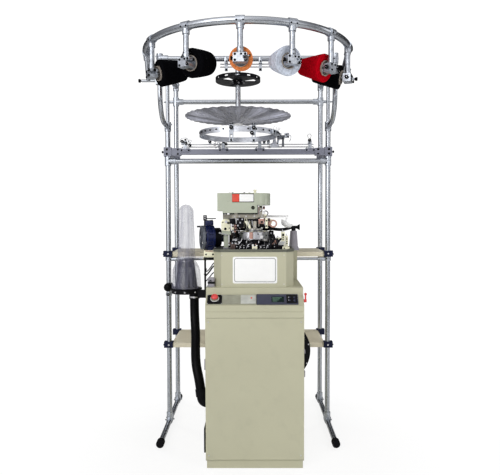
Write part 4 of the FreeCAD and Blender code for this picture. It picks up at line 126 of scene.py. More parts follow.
class Finish(Graph):
    """A material built up step by step on one Principled shader."""

    def __init__(self, name, colour, rough, metal=0.0):
        self.material = bpy.data.materials.new(name)
        self.material.use_nodes = True
        super().__init__(self.material.node_tree)
        self.shader = self.tree.nodes["Principled BSDF"]
        self.colour, self.rough = colour, rough
        self.base = self.normal = None
        self.set(Metallic=metal, Base_Color=colour, Roughness=rough)
        self.coords = self.node("TexCoord").outputs["Object"]
        self.material.diffuse_color = colour

    def set(self, **values):
        for key, value in values.items():
            self.shader.inputs[key.replace("_", " ")].default_value = value
        return self

    def noise(self, scale, detail=3.0, stretch=None, rough=0.55):
        made = self.node("TexNoise")
        for key, value in (("Scale", scale), ("Detail", detail), ("Roughness", rough)):
            made.inputs[key].default_value = value
        source = self.coords
        if stretch:
            mapping = self.node("Mapping")
            mapping.inputs["Scale"].default_value = stretch
            self.feed(mapping.inputs["Vector"], source)
            source = mapping.outputs["Vector"]
        self.feed(made.inputs["Vector"], source)
        return made.outputs["Fac"]

    def place(self):
        """The object's own x, y and z."""
        split = self.node("SeparateXYZ")
        self.feed(split.inputs[0], self.coords)
        return split.outputs

    def mix(self, factor, first, second):
        made = self.node("Mix", data_type="RGBA")
        for slot, value in ((0, factor), (6, first), (7, second)):
            self.feed(made.inputs[slot], value)
        return made.outputs[2]

    def length(self, first, second):
        """Length of a line with the two given sides."""
        squares = [self.math("MULTIPLY", value, value) for value in (first, second)]
        return self.math("SQRT", self.math("ADD", *squares))

    def paint(self, factor, colour):
        """Lays a second colour over the base where factor is high."""
        self.base = self.mix(factor, self.base or self.colour, colour)
        return self

    def mottle(self, scale, low, high, stretch=None):
        """Colour variation between two shades of the base colour."""
        value = self.spread(self.noise(scale, stretch=stretch), 0.3, 0.7, 0.0, 1.0)
        self.base = self.mix(value, shade(self.colour, low), shade(self.colour, high))
        return self

    def stain(self, scale, colour, amount):
        value = self.spread(self.noise(scale, 5.0), 0.52, 0.75, 0.0, amount)
        return self.paint(value, colour)

    def vary_rough(self, scale, change, stretch=None):
        value = self.spread(self.noise(scale, 4.0, stretch), 0.3, 0.7,
                            max(0.02, self.rough - change), min(1.0, self.rough + change))
        self.feed(self.shader.inputs["Roughness"], value)
        return self

    def bump(self, height, distance, strength=1.0):
        made = self.node("Bump")
        made.inputs["Distance"].default_value = distance
        made.inputs["Strength"].default_value = strength
        self.feed(made.inputs["Height"], height)
        if self.normal is not None:
            self.feed(made.inputs["Normal"], self.normal)
        self.normal = made.outputs["Normal"]
        return self

    def round_edges(self, radius=0.0012):
        made = self.node("Bevel", samples=4)
        made.inputs["Radius"].default_value = radius
        self.normal = made.outputs["Normal"]
        return self

    def wear(self, colour, radius=0.0015, amount=0.7):
        """Paint rubbed thin along edges, found where the rounded and the true normal part."""
        rounded = self.node("Bevel", samples=4)
        rounded.inputs["Radius"].default_value = radius
        facing = self.node("VectorMath", operation="DOT_PRODUCT")
        self.feed(facing.inputs[0], rounded.outputs["Normal"])
        self.feed(facing.inputs[1], self.node("NewGeometry").outputs["Normal"])
        edge = self.spread(facing.outputs["Value"], 0.97, 0.86, 0.0, amount)
        patchy = self.spread(self.noise(60.0, 4.0), 0.42, 0.6, 0.15, 1.0)
        return self.paint(self.math("MULTIPLY", edge, patchy), colour)

    def done(self):
        if self.base is not None:
            self.feed(self.shader.inputs["Base Color"], self.base)
        if self.normal is not None:
            self.feed(self.shader.inputs["Normal"], self.normal)
        return self.material


DARK = 0.05  # colours under this mirror less, so that blacks stay black


def tube_metal(name, colour, rough):
    """Plated or drawn metal, nearly even."""
    made = Finish(name, colour, rough, 1.0)
    made.mottle(5.0, 0.90, 1.06).stain(9.0, shade(colour, 0.72), 0.25)
    made.vary_rough(8.0, 0.05)
    return made.bump(made.noise(7.0, 1.0), 0.0004, 0.1).done()


def cast_metal(name, colour, rough, metal=0.9):
    """Rough cast surface with dark pores."""
    made = Finish(name, colour, rough, metal)
    made.mottle(35.0, 0.72, 1.1).stain(90.0, shade(colour, 0.4), 0.5)
    made.vary_rough(80.0, 0.12)
    return made.round_edges(0.0015).bump(made.noise(200.0, 3.0), 0.0003, 0.4).done()


def sheet_paint(name, colour, rough, worn, grain=900.0, coat=0.06):
    """Painted sheet; worn is the colour, from 0 to 255, of its rubbed edges."""
    made = Finish(name, colour, rough)
    made.mottle(2.2, 0.95, 1.03).stain(14.0, shade(colour, 0.84), 0.35)
    made.wear(srgb(*worn), 0.0016, 0.4).vary_rough(26.0, 0.07)
    made.set(Coat_Weight=coat, Coat_Roughness=0.16)
    if max(colour[:3]) < DARK:
        made.set(Specular_IOR_Level=0.08)
    return made.round_edges(0.0015).bump(made.noise(grain, 2.0), 0.00014, 0.5).done()


def plastic(name, colour, rough, low=0.88, high=1.1):
    """Moulded plastic or rubber between two shades of its colour."""
    made = Finish(name, colour, rough)
    made.mottle(28.0, low, high).vary_rough(90.0, 0.08)
    if max(colour[:3]) < DARK:
        made.set(Specular_IOR_Level=0.06)
    return made.round_edges(0.0012).bump(made.noise(1100.0), 0.00008, 0.4).done()


def clear(name, colour, rough, least, most, scale, stretch=None, gloss=0.25):
    """See-through plastic: pale reflections on a thin tint that is denser in streaks."""
    made = Finish(name, colour, rough)
    made.mottle(scale, 0.85, 1.12, stretch).vary_rough(scale * 2, 0.05)
    alpha = made.spread(made.noise(scale, 4.0, stretch), 0.3, 0.7, least, most)
    made.feed(made.shader.inputs["Alpha"], alpha)
    made.set(Coat_Weight=gloss, Coat_Roughness=0.06, Coat_IOR=1.8)
    return made.bump(made.noise(scale * 0.4, 1.0, stretch), 0.0006, 0.1).done()


SHAFT = Vector((-100, 85, 0))  # mm, the upright axis of wheel, hub and dish
# painted highlights on the dish: degrees round the shaft, cosine where it starts, strength
DISH_PAINTED_HIGHLIGHTS = ((171.0, 0.95, 0.85), (210.0, 0.975, 0.6), (-20.0, 0.955, 1.0),
               (10.0, 0.975, 0.6), (-62.0, 0.985, 0.5))


def pleated(name, colour):
    """Smoky sheet with streaks from the shaft, clearer fields painted lighter as sheen, and painted
    highlights.
    """
    made = Finish(name, colour, 0.3)
    place = made.place()
    x = made.math("SUBTRACT", place[0], SHAFT.x * MM)
    y = made.math("SUBTRACT", place[1], SHAFT.y * MM)
    turn = made.math("ARCTAN2", y, x)
    reach = made.length(x, y)
    spot = made.node("CombineXYZ")
    made.feed(spot.inputs[0], made.math("MULTIPLY", made.math("SINE", turn), 7.0))
    made.feed(spot.inputs[1], made.math("MULTIPLY", made.math("COSINE", turn), 7.0))
    made.feed(spot.inputs[2], made.math("MULTIPLY", reach, 4.0))
    streak = made.node("TexNoise")
    for key, value in (("Scale", 1.1), ("Detail", 6.0), ("Roughness", 0.66)):
        streak.inputs[key].default_value = value
    made.feed(streak.inputs["Vector"], spot.outputs[0])
    fine = made.spread(streak.outputs["Fac"], 0.35, 0.65, 0.0, 1.0)
    fields = made.spread(made.noise(3.4, 1.0, (1.0, 0.5, 1.0)), 0.45, 0.58, 0.0, 1.0)
    made.base = made.mix(fine, shade(colour, 0.42), shade(colour, 1.5))
    # the clearer fields are painted lighter too: a painted sheen on the sheet
    soft = made.spread(fine, 0.2, 0.9, 0.1, 0.4)
    made.paint(made.math("MULTIPLY", fields, soft), shade(colour, 1.7))
    out = made.spread(reach, 0.08, 0.16, 0.0, 1.0)
    # painted highlights: fixed sectors round the shaft painted far lighter, as if lit
    for degrees, narrow, share in DISH_PAINTED_HIGHLIGHTS:
        aside = made.math("COSINE", made.math("SUBTRACT", turn, math.radians(degrees)))
        lit = made.spread(aside, narrow, min(0.999, narrow + 0.04), 0.0, share)
        highlight_sector = made.math("MULTIPLY", lit, out)
        streaky = made.spread(fine, 0.1, 0.7, 0.45, 1.0)
        made.paint(made.math("MULTIPLY", highlight_sector, streaky), shade(colour, 3.4))
    made.paint(made.spread(reach, 0.296, 0.33, 0.0, 0.7), shade(colour, 0.45))
    made.feed(made.shader.inputs["Alpha"], made.spread(fields, 0.0, 1.0, 0.94, 0.72))
    made.vary_rough(20.0, 0.1).set(Coat_Weight=0.3, Coat_Roughness=0.15)
    return made.bump(streak.outputs["Fac"], 0.004, 0.5).done()


def wound(name, colour):
    """Yarn laid in crossing turns round the local X axis, with painted shade in the grooves between
    them.
    """
    made = Finish(name, colour, 0.92)
    x, y, z = made.place()
    turn = made.math("ARCTAN2", z, y)
    along = made.math("MULTIPLY", made.math("SUBTRACT", x, made.length(y, z)), 2400.0)
    twist = made.math("MULTIPLY", turn, 60.0)
    first = made.math("SINE", made.math("ADD", along, twist))
    second = made.math("SINE", made.math("SUBTRACT", along, twist))
    height = made.math("MAXIMUM", first, second)
    bands = made.spread(made.noise(70.0, 4.0, (4.0, 1.0, 1.0)), 0.3, 0.7, 0.0, 1.0)
    made.base = made.mix(bands, shade(colour, 0.7), shade(colour, 1.15))
    # darker where a turn sinks between the crossing turns: painted shade in the grooves
    made.paint(made.spread(height, -0.6, 0.5, 0.35, 0.0), shade(colour, 0.45))
    made.set(Specular_IOR_Level=0.02)
    made.vary_rough(150.0, 0.06)
    return made.bump(height, 0.0006, 0.6).bump(made.noise(900.0), 0.0006, 0.5).done()


def paper_finish():
    """Brown-grey card tube with the seams of its winding."""
    made = Finish("paper", srgb(172, 162, 152), 0.85)
    made.mottle(45.0, 0.85, 1.08).stain(120.0, srgb(120, 105, 90), 0.4).vary_rough(100.0, 0.06)
    seam = made.math("SINE", made.math("MULTIPLY", made.place()[2], 260.0))
    made.paint(made.spread(seam, 0.96, 1.0, 0.0, 0.5), srgb(96, 84, 74))
    return made.bump(made.noise(600.0, 4.0), 0.0003, 0.6).done()


def brushed(name, colour, rough, stretch):
    """Turned or ground metal with fine lines along one way."""
    made = Finish(name, colour, rough, 1.0)
    made.mottle(60.0, 0.78, 1.08, stretch).vary_rough(90.0, 0.12, stretch)
    return made.round_edges(0.0008).bump(made.noise(300.0, 3.0, stretch), 0.0001, 0.5).done()


# name, maker, colour from 0 to 255, roughness, and what else the maker takes
FINISH = {name: make(name, srgb(*colour), *rest) for name, make, colour, *rest in (
    ("zinc_tube", tube_metal, (185, 189, 195), 0.27),
    ("cast_joint", cast_metal, (195, 200, 208), 0.36),
    ("black_rubber", plastic, (20, 20, 23), 0.7),
    ("dark_bar", sheet_paint, (128, 130, 144), 0.34, (182, 188, 202)),
    ("navy_clamp", sheet_paint, (31, 36, 60), 0.36, (103, 108, 128)),
    ("bright_steel", tube_metal, (213, 213, 216), 0.3),
    ("brushed", brushed, (213, 211, 204), 0.34, (1.0, 1.0, 14.0)),
    ("black_paint", sheet_paint, (14, 14, 18), 0.34, (96, 96, 103), 600.0),
    ("black_knob", plastic, (12, 12, 14), 0.4),
    ("smoky_plastic", pleated, (135, 136, 148)),
    ("clear_plastic", clear, (157, 158, 180), 0.09, 0.07, 0.27, 9.0, (5.0, 5.0, 0.25)),
    ("dark_clear", clear, (17, 19, 44), 0.15, 0.9, 0.99, 9.0, (4.0, 4.0, 0.3), 0.3),
    ("white_plastic", plastic, (247, 247, 247), 0.32),
    ("cream_paint", sheet_paint, (247, 244, 216), 0.38, (171, 166, 150)),
    ("beige_paint", sheet_paint, (185, 183, 158), 0.42, (211, 208, 188)),
    ("shelf_paint", sheet_paint, (230, 222, 198), 0.42, (247, 245, 227)),
    ("tray_paint", sheet_paint, (92, 94, 83), 0.36, (159, 162, 148)),
    ("column_paint", sheet_paint, (150, 147, 155), 0.38, (195, 191, 195)),
    ("panel_face", plastic, (152, 152, 136), 0.4),
    ("red_plastic", plastic, (216, 72, 69), 0.28),
    ("display_face", plastic, (54, 57, 76), 0.4),
    ("navy_motor", sheet_paint, (4, 18, 65), 0.34, (58, 76, 119)),
    ("grey_casting", cast_metal, (173, 168, 155), 0.5, 0.15),
    ("hose", plastic, (11, 11, 13), 0.3),
    ("grey_duct", plastic, (200, 202, 202), 0.35),
    ("yarn_black", wound, (9, 9, 12)),
    ("yarn_orange", wound, (234, 141, 83)),
    ("yarn_grey", wound, (213, 220, 234)),
    ("yarn_red", wound, (191, 5, 24)),
    ("copper", cast_metal, (182, 141, 128), 0.45, 0.25),
    ("label_white", plastic, (246, 246, 245), 0.4, 0.98, 1.0),
    ("label_grey", plastic, (128, 130, 130), 0.45),
    ("label_red", plastic, (213, 76, 60), 0.4),
    ("lcd_green", plastic, (27, 40, 38), 0.2),
    ("cover_paint", sheet_paint, (175, 181, 162), 0.32, (200, 204, 189), 900.0, 0.5),
    ("ring_grey", brushed, (222, 225, 232), 0.42, (1.0, 1.0, 6.0)),
    ("lcd_mark", plastic, (85, 119, 101), 0.4),
    ("wheel_grey", cast_metal, (105, 109, 117), 0.42, 0.3),
    ("dark_brown", cast_metal, (72, 56, 51), 0.5, 0.2),
    ("pale_panel", plastic, (191, 193, 186), 0.4),
)}
FINISH["paper"] = paper_finish()


TINTED_NODES = {"head_cover": "cover_paint", "guide_ring": "ring_grey",
                "left_column": "cover_paint", "hand_wheel": "wheel_grey"}


def dress_nodes():
    """Every carried-over CAD node gets the finish that its packed slot names, in its own tint."""
    for name, part in NODES.items():
        for held in part.material_slots:
            key = held.material.name.split(".")[0] if held.material else ""
            key = TINTED_NODES.get(name, key)
            if key in FINISH:
                held.material = FINISH[key]
            else:
                print("no finish for", name, key)


# ------------------------------------------------------------------ mesh building
# the three finishes that the small parts have most
STEEL, KNOB, BLACK = "bright_steel", "black_knob", "black_paint"


# Piece and each() take millimetres and degrees; only the finished mesh is in metres.
def each(build, finish, *rows):
    """Calls build with the finish and each row."""
    for row in rows:
        build(finish, *row)


def angles(count):
    """As many even steps of a full turn, in radians."""
    return [2 * math.pi * k / count for k in range(count)]


def heading(degrees):
    """Level direction; degrees from +X, towards +Y."""
    turn = math.radians(degrees)
    return Vector((math.cos(turn), math.sin(turn), 0))


def around(degrees, radius=1.0, height=0.0):
    """Point round the upright axis; degrees from the front, towards +X."""
    turn = math.radians(degrees)
    return Vector((radius * math.sin(turn), -radius * math.cos(turn), height))


def upright(place):
    """Matrix for an outline that stands at the place and faces the front."""
    return Matrix.Translation(place) @ turned_by(90, "X")


def turned_by(degrees, axis="Z"):
    """Rotation matrix about one axis."""
    return Matrix.Rotation(math.radians(degrees), 4, axis)


def place_in_scene(thing, body="root"):
    """Puts an object in the scene, on the body that carries it."""
    bpy.context.scene.collection.objects.link(thing)
    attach(thing, body)
    return thing


class Piece:
    """One object of bevelled solids, turned forms and bent wires, given in millimetres."""

    def __init__(self, name, body="root", slot=None):
        self.name = name
        self.body = body
        self.slot = slot
        self.mesh = bmesh.new()
        self.finishes = []

    def add(self, part, finish, place=None):
        """Takes up a mesh that is in metres; the place it goes to is in millimetres."""
        if finish not in self.finishes:
            self.finishes.append(finish)
        index = self.finishes.index(finish)
        for face in part.faces:
            face.material_index = index
        if place is not None:
            place = place.copy()
            place.translation *= MM
            part.transform(place)
        holder = bpy.data.meshes.new("holder")
        part.to_mesh(holder)
        part.free()
        self.mesh.from_mesh(holder)
        bpy.data.meshes.remove(holder)

    def box(self, finish, low, high, bevel=0.8, place=None, segments=2):
        part = bmesh.new()
        bmesh.ops.create_cube(part, size=1.0)
        low, high = Vector(low) * MM, Vector(high) * MM
        size = high - low
        part.transform(Matrix.Translation((low + high) / 2) @ Matrix.Diagonal((*size, 1.0)))
        bmesh.ops.bevel(part, geom=part.edges[:], offset=min(bevel * MM, min(size) * 0.4),
                        segments=segments, profile=0.5, affect="EDGES")
        self.add(part, finish, place)

    def turned(self, finish, points, place=None, segments=32, closed=False):
        """Form of revolution about local Z from (radius, height) points."""
        part = bmesh.new()
        rings = []
        for radius, height in ((radius * MM, height * MM) for radius, height in points):
            if radius < 1e-6:
                rings.append([part.verts.new((0, 0, height))])
                continue
            rings.append([part.verts.new((radius * math.cos(a), radius * math.sin(a), height))
                          for a in angles(segments)])
        pairs = list(zip(rings, rings[1:]))
        if closed:
            pairs.append((rings[-1], rings[0]))
        for lower, upper in pairs:
            for i in range(segments):
                j = (i + 1) % segments
                corners = [lower[i % len(lower)], lower[j % len(lower)], upper[j % len(upper)],
                           upper[i % len(upper)]]
                unique = list(dict.fromkeys(corners))
                if len(unique) > 2:
                    part.faces.new(unique)
        bmesh.ops.recalc_face_normals(part, faces=part.faces[:])
        self.add(part, finish, place)

    def rod(self, finish, start, end, radius, far_radius=None, bevel=0.6, segments=20):
        start, end = Vector(start), Vector(end)
        length = (end - start).length
        far = radius if far_radius is None else far_radius
        bevel = min(bevel, radius * 0.45, length * 0.3)
        points = [(0, 0), (radius - bevel, 0), (radius, bevel), (far, length - bevel),
                  (max(far - bevel, 0.0), length), (0, length)]
        self.turned(finish, points, aim(start, end - start), segments)

    def wire(self, finish, points, radius, segments=8, smooth=6, closed=False):
        """Round wire along a smooth line through the points."""
        line = smooth_line([Vector(p) * MM for p in points], smooth, closed)
        radius *= MM
        part = bmesh.new()
        rings = []
        side = None
        count = len(line)
        for i, here in enumerate(line):
            ahead = line[(i + 1) % count] if closed else line[min(i + 1, count - 1)]
            behind = line[i - 1] if closed or i else line[0]
            course = (ahead - behind).normalized()
            if side is None:
                side = course.orthogonal().normalized()
            side = (side - course * side.dot(course)).normalized()
            other = course.cross(side)
            spokes = [(side * math.cos(a) + other * math.sin(a)) * radius for a in angles(segments)]
            rings.append([part.verts.new(here + spoke) for spoke in spokes])
        for lower, upper in zip(rings, rings[1:] + rings[:1] if closed else rings[1:]):
            for k in range(segments):
                n = (k + 1) % segments
                part.faces.new((lower[k], lower[n], upper[n], upper[k]))
        if not closed:
            part.faces.new(rings[0][::-1])
            part.faces.new(rings[-1])
        self.add(part, finish)

    def plate(self, finish, outline, thickness, place=None, bevel=0.5):
        """Flat plate in local XY from its corner points, thickness along local Z."""
        part = bmesh.new()
        face = part.faces.new([part.verts.new((x * MM, y * MM, 0)) for x, y in outline])
        thickness, bevel = thickness * MM, bevel * MM
        made = bmesh.ops.extrude_face_region(part, geom=[face])
        moved = [v for v in made["geom"] if isinstance(v, bmesh.types.BMVert)]
        bmesh.ops.translate(part, verts=moved, vec=(0, 0, thickness))
        bmesh.ops.recalc_face_normals(part, faces=part.faces[:])
        if bevel:
            rims = [e for e in part.edges if abs(e.verts[0].co.z - e.verts[1].co.z) < 1e-7]
            bmesh.ops.bevel(part, geom=rims, offset=min(bevel, thickness * 0.4), segments=2,
                            profile=0.5, affect="EDGES")
        self.add(part, finish, place)

    def bolt(self, finish, point, way, radius, height=None):
        """Six-sided bolt head on a washer."""
        way = Vector(way).normalized()
        height = height or radius * 0.8
        self.rod(finish, point, Vector(point) + way * radius * 0.25, radius * 1.35)
        self.rod(finish, Vector(point) + way * radius * 0.2, Vector(point) + way * height, radius,
                 bevel=radius * 0.12, segments=6)

    def made(self, smooth_angle=38.0):
        """Puts the gathered mesh in the scene, on its body and with its finishes."""
        mesh = bpy.data.meshes.new(self.name)
        self.mesh.to_mesh(mesh)
        self.mesh.free()
        for key in self.finishes:
            mesh.materials.append(FINISH[key])
        for polygon in mesh.polygons:
            polygon.use_smooth = True
        mesh.set_sharp_from_angle(angle=math.radians(smooth_angle))
        thing = place_in_scene(bpy.data.objects.new(self.name, mesh), self.body)
        return thing


def aim(origin, way):
    """Matrix that puts local Z along way, from origin."""
    way = Vector(way).normalized()
    return Matrix.Translation(Vector(origin)) @ way.to_track_quat("Z", "Y").to_matrix().to_4x4()


def smooth_line(points, steps, closed=False):
    """Catmull-Rom line through the points."""
    if steps < 2 or len(points) < 3:
        return points
    line = []
    count = len(points)
    spans = count if closed else count - 1
    for i in range(spans):
        p1, p2 = points[i], points[(i + 1) % count]
        p0 = points[i - 1] if closed or i else p1
        p3 = points[(i + 2) % count] if closed or i + 2 < count else p2
        for k in range(steps):
            t = k / steps
            line.append(0.5 * (2 * p1 + (p2 - p0) * t + (2 * p0 - 5 * p1 + 4 * p2 - p3) * t * t
                               + (3 * p1 - p0 - 3 * p2 + p3) * t ** 3))
    if not closed:
        line.append(points[-1])
    return line


def rounded(width, height, radius, steps=6):
    """Corner points of a rectangle with round corners, centred on the origin."""
    points = []
    for sx, sy, start in ((1, 1, 0), (-1, 1, 90), (-1, -1, 180), (1, -1, 270)):
        for k in range(steps + 1):
            turn = math.radians(start + 90 * k / steps)
            points.append((sx * (width / 2 - radius) + radius * math.cos(turn),
                           sy * (height / 2 - radius) + radius * math.sin(turn)))
    return points


# ------------------------------------------------------------------ suction hose
# points of the hose's line and its outer diameter, in metres
HOSE_POINTS = [(-0.398, 0.260, 0.893), (-0.398, 0.260, 0.800), (-0.391, 0.236, 0.712),
               (-0.383, 0.186, 0.636), (-0.379, 0.122, 0.570), (-0.370, 0.066, 0.495),
               (-0.346, 0.036, 0.408), (-0.334, 0.030, 0.322)]
HOSE_D = 0.060


def round_line(name, points, radius, finish, fine):
    """Curve with a round section along a quadratic spline of the points."""
    curve = bpy.data.curves.new(name, "CURVE")
    curve.dimensions = "3D"
    curve.bevel_depth = radius
    curve.bevel_resolution, curve.resolution_u = fine
    spline = curve.splines.new("NURBS")
    spline.points.add(len(points) - 1)
    for point, place in zip(spline.points, points):
        point.co = (*place, 1.0)
    spline.order_u = 3
    spline.use_endpoint_u = True
    curve.materials.append(FINISH[finish])
    return place_in_scene(bpy.data.objects.new(name, curve))


def hose():
    """Suction hose from the receiver to the elbow at the cabinet's side."""
    thing = round_line("suction_hose_line", HOSE_POINTS, HOSE_D / 2, "hose", (8, 16))
    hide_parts("suction_hose")


# ------------------------------------------------------------------ yarn cones
# all lengths from here on, up to the floor, are in millimetres
CREEL_X, RING_Y, RING_R = -41, 100, 625
BRACKET_XS = (-468, -207, 40, 383)
UPRIGHTS = ((-1, -588), (1, 506))  # side and x of the uprights, which stand at y 400
BLOCK_Z, CONE_TILT = 2252, 12
CONE_START, CORE_OUT, CONE_L, CORE_L = 34, 8, 170, 192
CORE_BASE_R, CORE_NOSE_R = 42, 22
# node, degrees round the overhead tube, base and nose radius, their fillets, yarn
CONES = [("yarn_cone_black_left", -60.5, 76, 58, 10, 22, "yarn_black"),
         ("yarn_cone_black_front", -31.0, 78, 66, 10, 26, "yarn_black"),
         ("yarn_cone_orange", -3.0, 62, 54, 8, 18, "yarn_orange"),
         ("yarn_cone_grey", 22.5, 78, 50, 8, 16, "yarn_grey"),
         ("yarn_cone_red", 48.0, 77, 45, 8, 14, "yarn_red"),
         ("yarn_cone_black_right", 72.0, 70, 50, 8, 16, "yarn_black")]


def ring_place(degrees, height):
    """Point under or over the curved overhead tube."""
    return Vector((CREEL_X, RING_Y, 0)) + around(degrees, RING_R, height)


def cone_matrix(degrees):
    """Where a cone hangs, in metres: local X runs from its base to its nose."""
    return (Matrix.Translation(ring_place(degrees, BLOCK_Z) * MM) @ turned_by(degrees + 90)
            @ turned_by(-CONE_TILT, "Y"))


def package_profile(base_r, nose_r, base_fillet, nose_fillet):
    """Radius and height along a wound package, from its bore round to its bore."""
    x0 = CONE_START + CORE_OUT
    x1 = x0 + CONE_L
    bore0 = CORE_BASE_R + (CORE_NOSE_R - CORE_BASE_R) * CORE_OUT / CORE_L + 0.6
    bore1 = CORE_BASE_R + (CORE_NOSE_R - CORE_BASE_R) * (CORE_OUT + CONE_L) / CORE_L + 0.6
    points = [(bore0, x0 + 4), (bore0 + 1, x0 + 0.8)]
    points += [(bore0 + (base_r - base_fillet - bore0) * t, x0 + 0.6 * math.sin(9 * t))
               for t in (0.15, 0.3, 0.5, 0.7, 0.85)]
    points += [(base_r - base_fillet * (1 - math.sin(a)), x0 + base_fillet * (1 - math.cos(a)))
               for a in (math.radians(d) for d in (0, 22, 45, 68, 90))]
    steps = 26
    for k in range(1, steps):
        t = k / steps
        bulge = 1.2 * math.sin(math.pi * t)
        points.append((base_r + (nose_r - base_r) * t + bulge,
                       x0 + base_fillet + (CONE_L - base_fillet - nose_fillet) * t))
    points += [(nose_r - nose_fillet * (1 - math.cos(a)), x1 - nose_fillet * (1 - math.sin(a)))
               for a in (math.radians(d) for d in (0, 20, 40, 60, 80, 90))]
    points += [(bore1 + 4, x1 + 3), (bore1, x1 + 3)]
    return points


def yarn_package(name, degrees, base_r, nose_r, base_fillet, nose_fillet, slot):
    """Wound package: soft shoulders, turns of yarn standing a little proud of it."""
    piece = Piece(name + "_wound", slot=slot)
    profile = package_profile(base_r, nose_r, base_fillet, nose_fillet)
    piece.turned(slot, profile, turned_by(90, "Y"), 96)
    x0 = CONE_START + CORE_OUT + base_fillet
    span = CONE_L - base_fillet - nose_fillet
    for strand in range(7):
        line = []
        ways = 2 if strand % 2 else -2
        for k in range(121):
            t = k / 120
            there = abs((t * 2 + strand * 0.27) % 2 - 1)
            radius = base_r + (nose_r - base_r) * there + 1.2 * math.sin(math.pi * there) + 0.3
            turn = ways * 2 * math.pi * t * 1.7 + strand * 0.9
            line.append((x0 + span * there, radius * math.cos(turn), radius * math.sin(turn)))
        piece.wire(slot, line, 0.6, 5, 1)
    for share in (0.3, 0.55, 0.8):
        reach = CORE_BASE_R + (base_r - base_fillet - CORE_BASE_R) * share + 2
        loop = [(CONE_START + CORE_OUT + 0.2, reach * math.cos(a), reach * math.sin(a))
                for a in angles(72)]
        piece.wire(slot, loop, 0.6, 5, 1, closed=True)
    thing = piece.made(50.0)
    thing.matrix_world = cone_matrix(degrees)
    bpy.context.view_layer.update()
    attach(thing, "root")
    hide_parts(name)


# ------------------------------------------------------------------ labels and panel
def neck_label():
    """Blank white plate on the neck with a thin grey line inside its edge."""
    piece = Piece("neck_plate_blank", slot="white_plastic")
    place = upright((2.5, -213.1, 1126.5))
    piece.plate("label_white", rounded(257, 155, 10), 1.2, place)
    for width, height, radius, finish, lift in ((241, 139, 14, "label_grey", 1.4),
                                                (233.5, 131.5, 11, "label_white", 1.6)):
        piece.plate(finish, rounded(width, height, radius), 0.4,
                    Matrix.Translation((0, -lift + 0.4, 0)) @ place, 0)
    piece.made()


def slope_matrix(x, along, height):
    """Local X across, local Y up the sloped panel, local Z out of it."""
    rise = math.atan2(60.0, 73.0)
    return (Matrix.Translation((0, -300, 932)) @ Matrix.Rotation(rise, 4, "X")
            @ Matrix.Translation((x, along, height)))


def panel_trim():
    """Plates, ring and screws on the sloped panel, and the display's window and keys."""
    piece = Piece("panel_trim", slot="panel_face")
    for side in (-1, 1):  # two halves round the stop button's stem, under its collar
        half = [(42, -32), (39, -35), (0, -35), (0, -9), (15, -9), (15, 21), (0, 21), (0, 35),
                (39, 35), (42, 32)]
        half = [(side * x, y) for x, y in half][::side]
        piece.plate(BLACK, half, 1, slope_matrix(-228, 46, 4.1))
    piece.plate("pale_panel", rounded(86, 66, 3), 1, slope_matrix(-36, 46, 4.1))
    piece.plate("label_red", rounded(10, 10, 4), 2, slope_matrix(-18, 56, 4.9))
    piece.turned("white_plastic", [(21.5, 0), (24.5, 0), (25, 1.4), (23.5, 2.6), (21.5, 2.6)],
                 slope_matrix(-228, 52, 5.1), 48, closed=True)
    for x, y in ((-268, 14), (-188, 14), (-268, 78), (-188, 78)):
        piece.rod(STEEL, slope_matrix(x, y, 5) @ Vector(), slope_matrix(x, y, 6.6) @ Vector(), 2.5)
    piece.made()
    screen = Piece("display_screen", slot="display_face")
    screen.plate("lcd_green", rounded(70, 40, 2), 1.2, slope_matrix(132, 44, 5))
    screen.plate(BLACK, rounded(62, 66, 3), 0.6, slope_matrix(212, 46, 7.4))
    for row in range(4):
        screen.plate("lcd_mark", rounded(54 - 9 * row, 4.2, 1), 0.3,
                     slope_matrix(127 - 4 * row, 58 - 9 * row, 6.2), 0)
    for k in range(2):
        screen.plate("label_white", rounded(10, 4.8, 1.2), 0.6,
                     slope_matrix(197, 36 + 22 * k, 8), 0)
    for k in range(3):
        screen.plate("navy_motor", rounded(10, 5, 1), 0.6, slope_matrix(229, 28 + 16 * k, 8), 0)
    screen.made()


def head_label():
    """Framed blank plate on the head cover: a third red, the rest white."""
    piece = Piece("head_plate_blank", "head", "white_plastic")
    place = upright((-67.5, -98.1, 1547.5))
    piece.plate(BLACK, rounded(131, 52, 4), 1, place)
    piece.plate("label_white", rounded(84, 44, 2), 0.7,
                Matrix.Translation((20.5, -0.8, 0)) @ place)
    piece.plate("label_red", rounded(42, 46, 2), 0.7, Matrix.Translation((-43.5, -0.8, 0)) @ place)
    piece.made()


# ------------------------------------------------------------------ knobs and clamp screws
def coil_points(count, start, step, radius, round_two):
    """Screw line of ten points a turn: start + k * step, with radius in the two given ways."""
    first, second = round_two
    points = []
    for k in range(count):
        a = 2 * math.pi * k / 10
        spoke = Vector(first) * math.cos(a) + Vector(second) * math.sin(a)
        points.append(Vector(start) + Vector(step) * k + spoke * radius)
    return points


def lobed(radius, lobes, depth, steps=48):
    """Corner points of a star knob; depth is the share that its waves take."""
    points = []
    for a in angles(steps):
        r = radius * (1 - depth + depth * math.cos(lobes * a))
        points.append((r * math.cos(a), r * math.sin(a)))
    return points


def hand_knob(piece, foot, way, radius, length, lobes=6):
    """Moulded star knob on a turned boss, with a bright screw end in its middle."""
    way = Vector(way).normalized()
    foot = Vector(foot)
    piece.rod(STEEL, foot - way * 2, foot + way * length * 0.4, radius * 0.42)
    piece.rod(KNOB, foot + way * length * 0.1, foot + way * length * 0.5, radius * 0.62)
    piece.plate(KNOB, lobed(radius, lobes, 0.09), length * 0.55,
                aim(foot + way * length * 0.4, way), 1.5)
    piece.rod(KNOB, foot + way * length * 0.9, foot + way * length, radius * 0.5)
    piece.rod(STEEL, foot + way * length * 0.96, foot + way * length * 1.03, radius * 0.2)


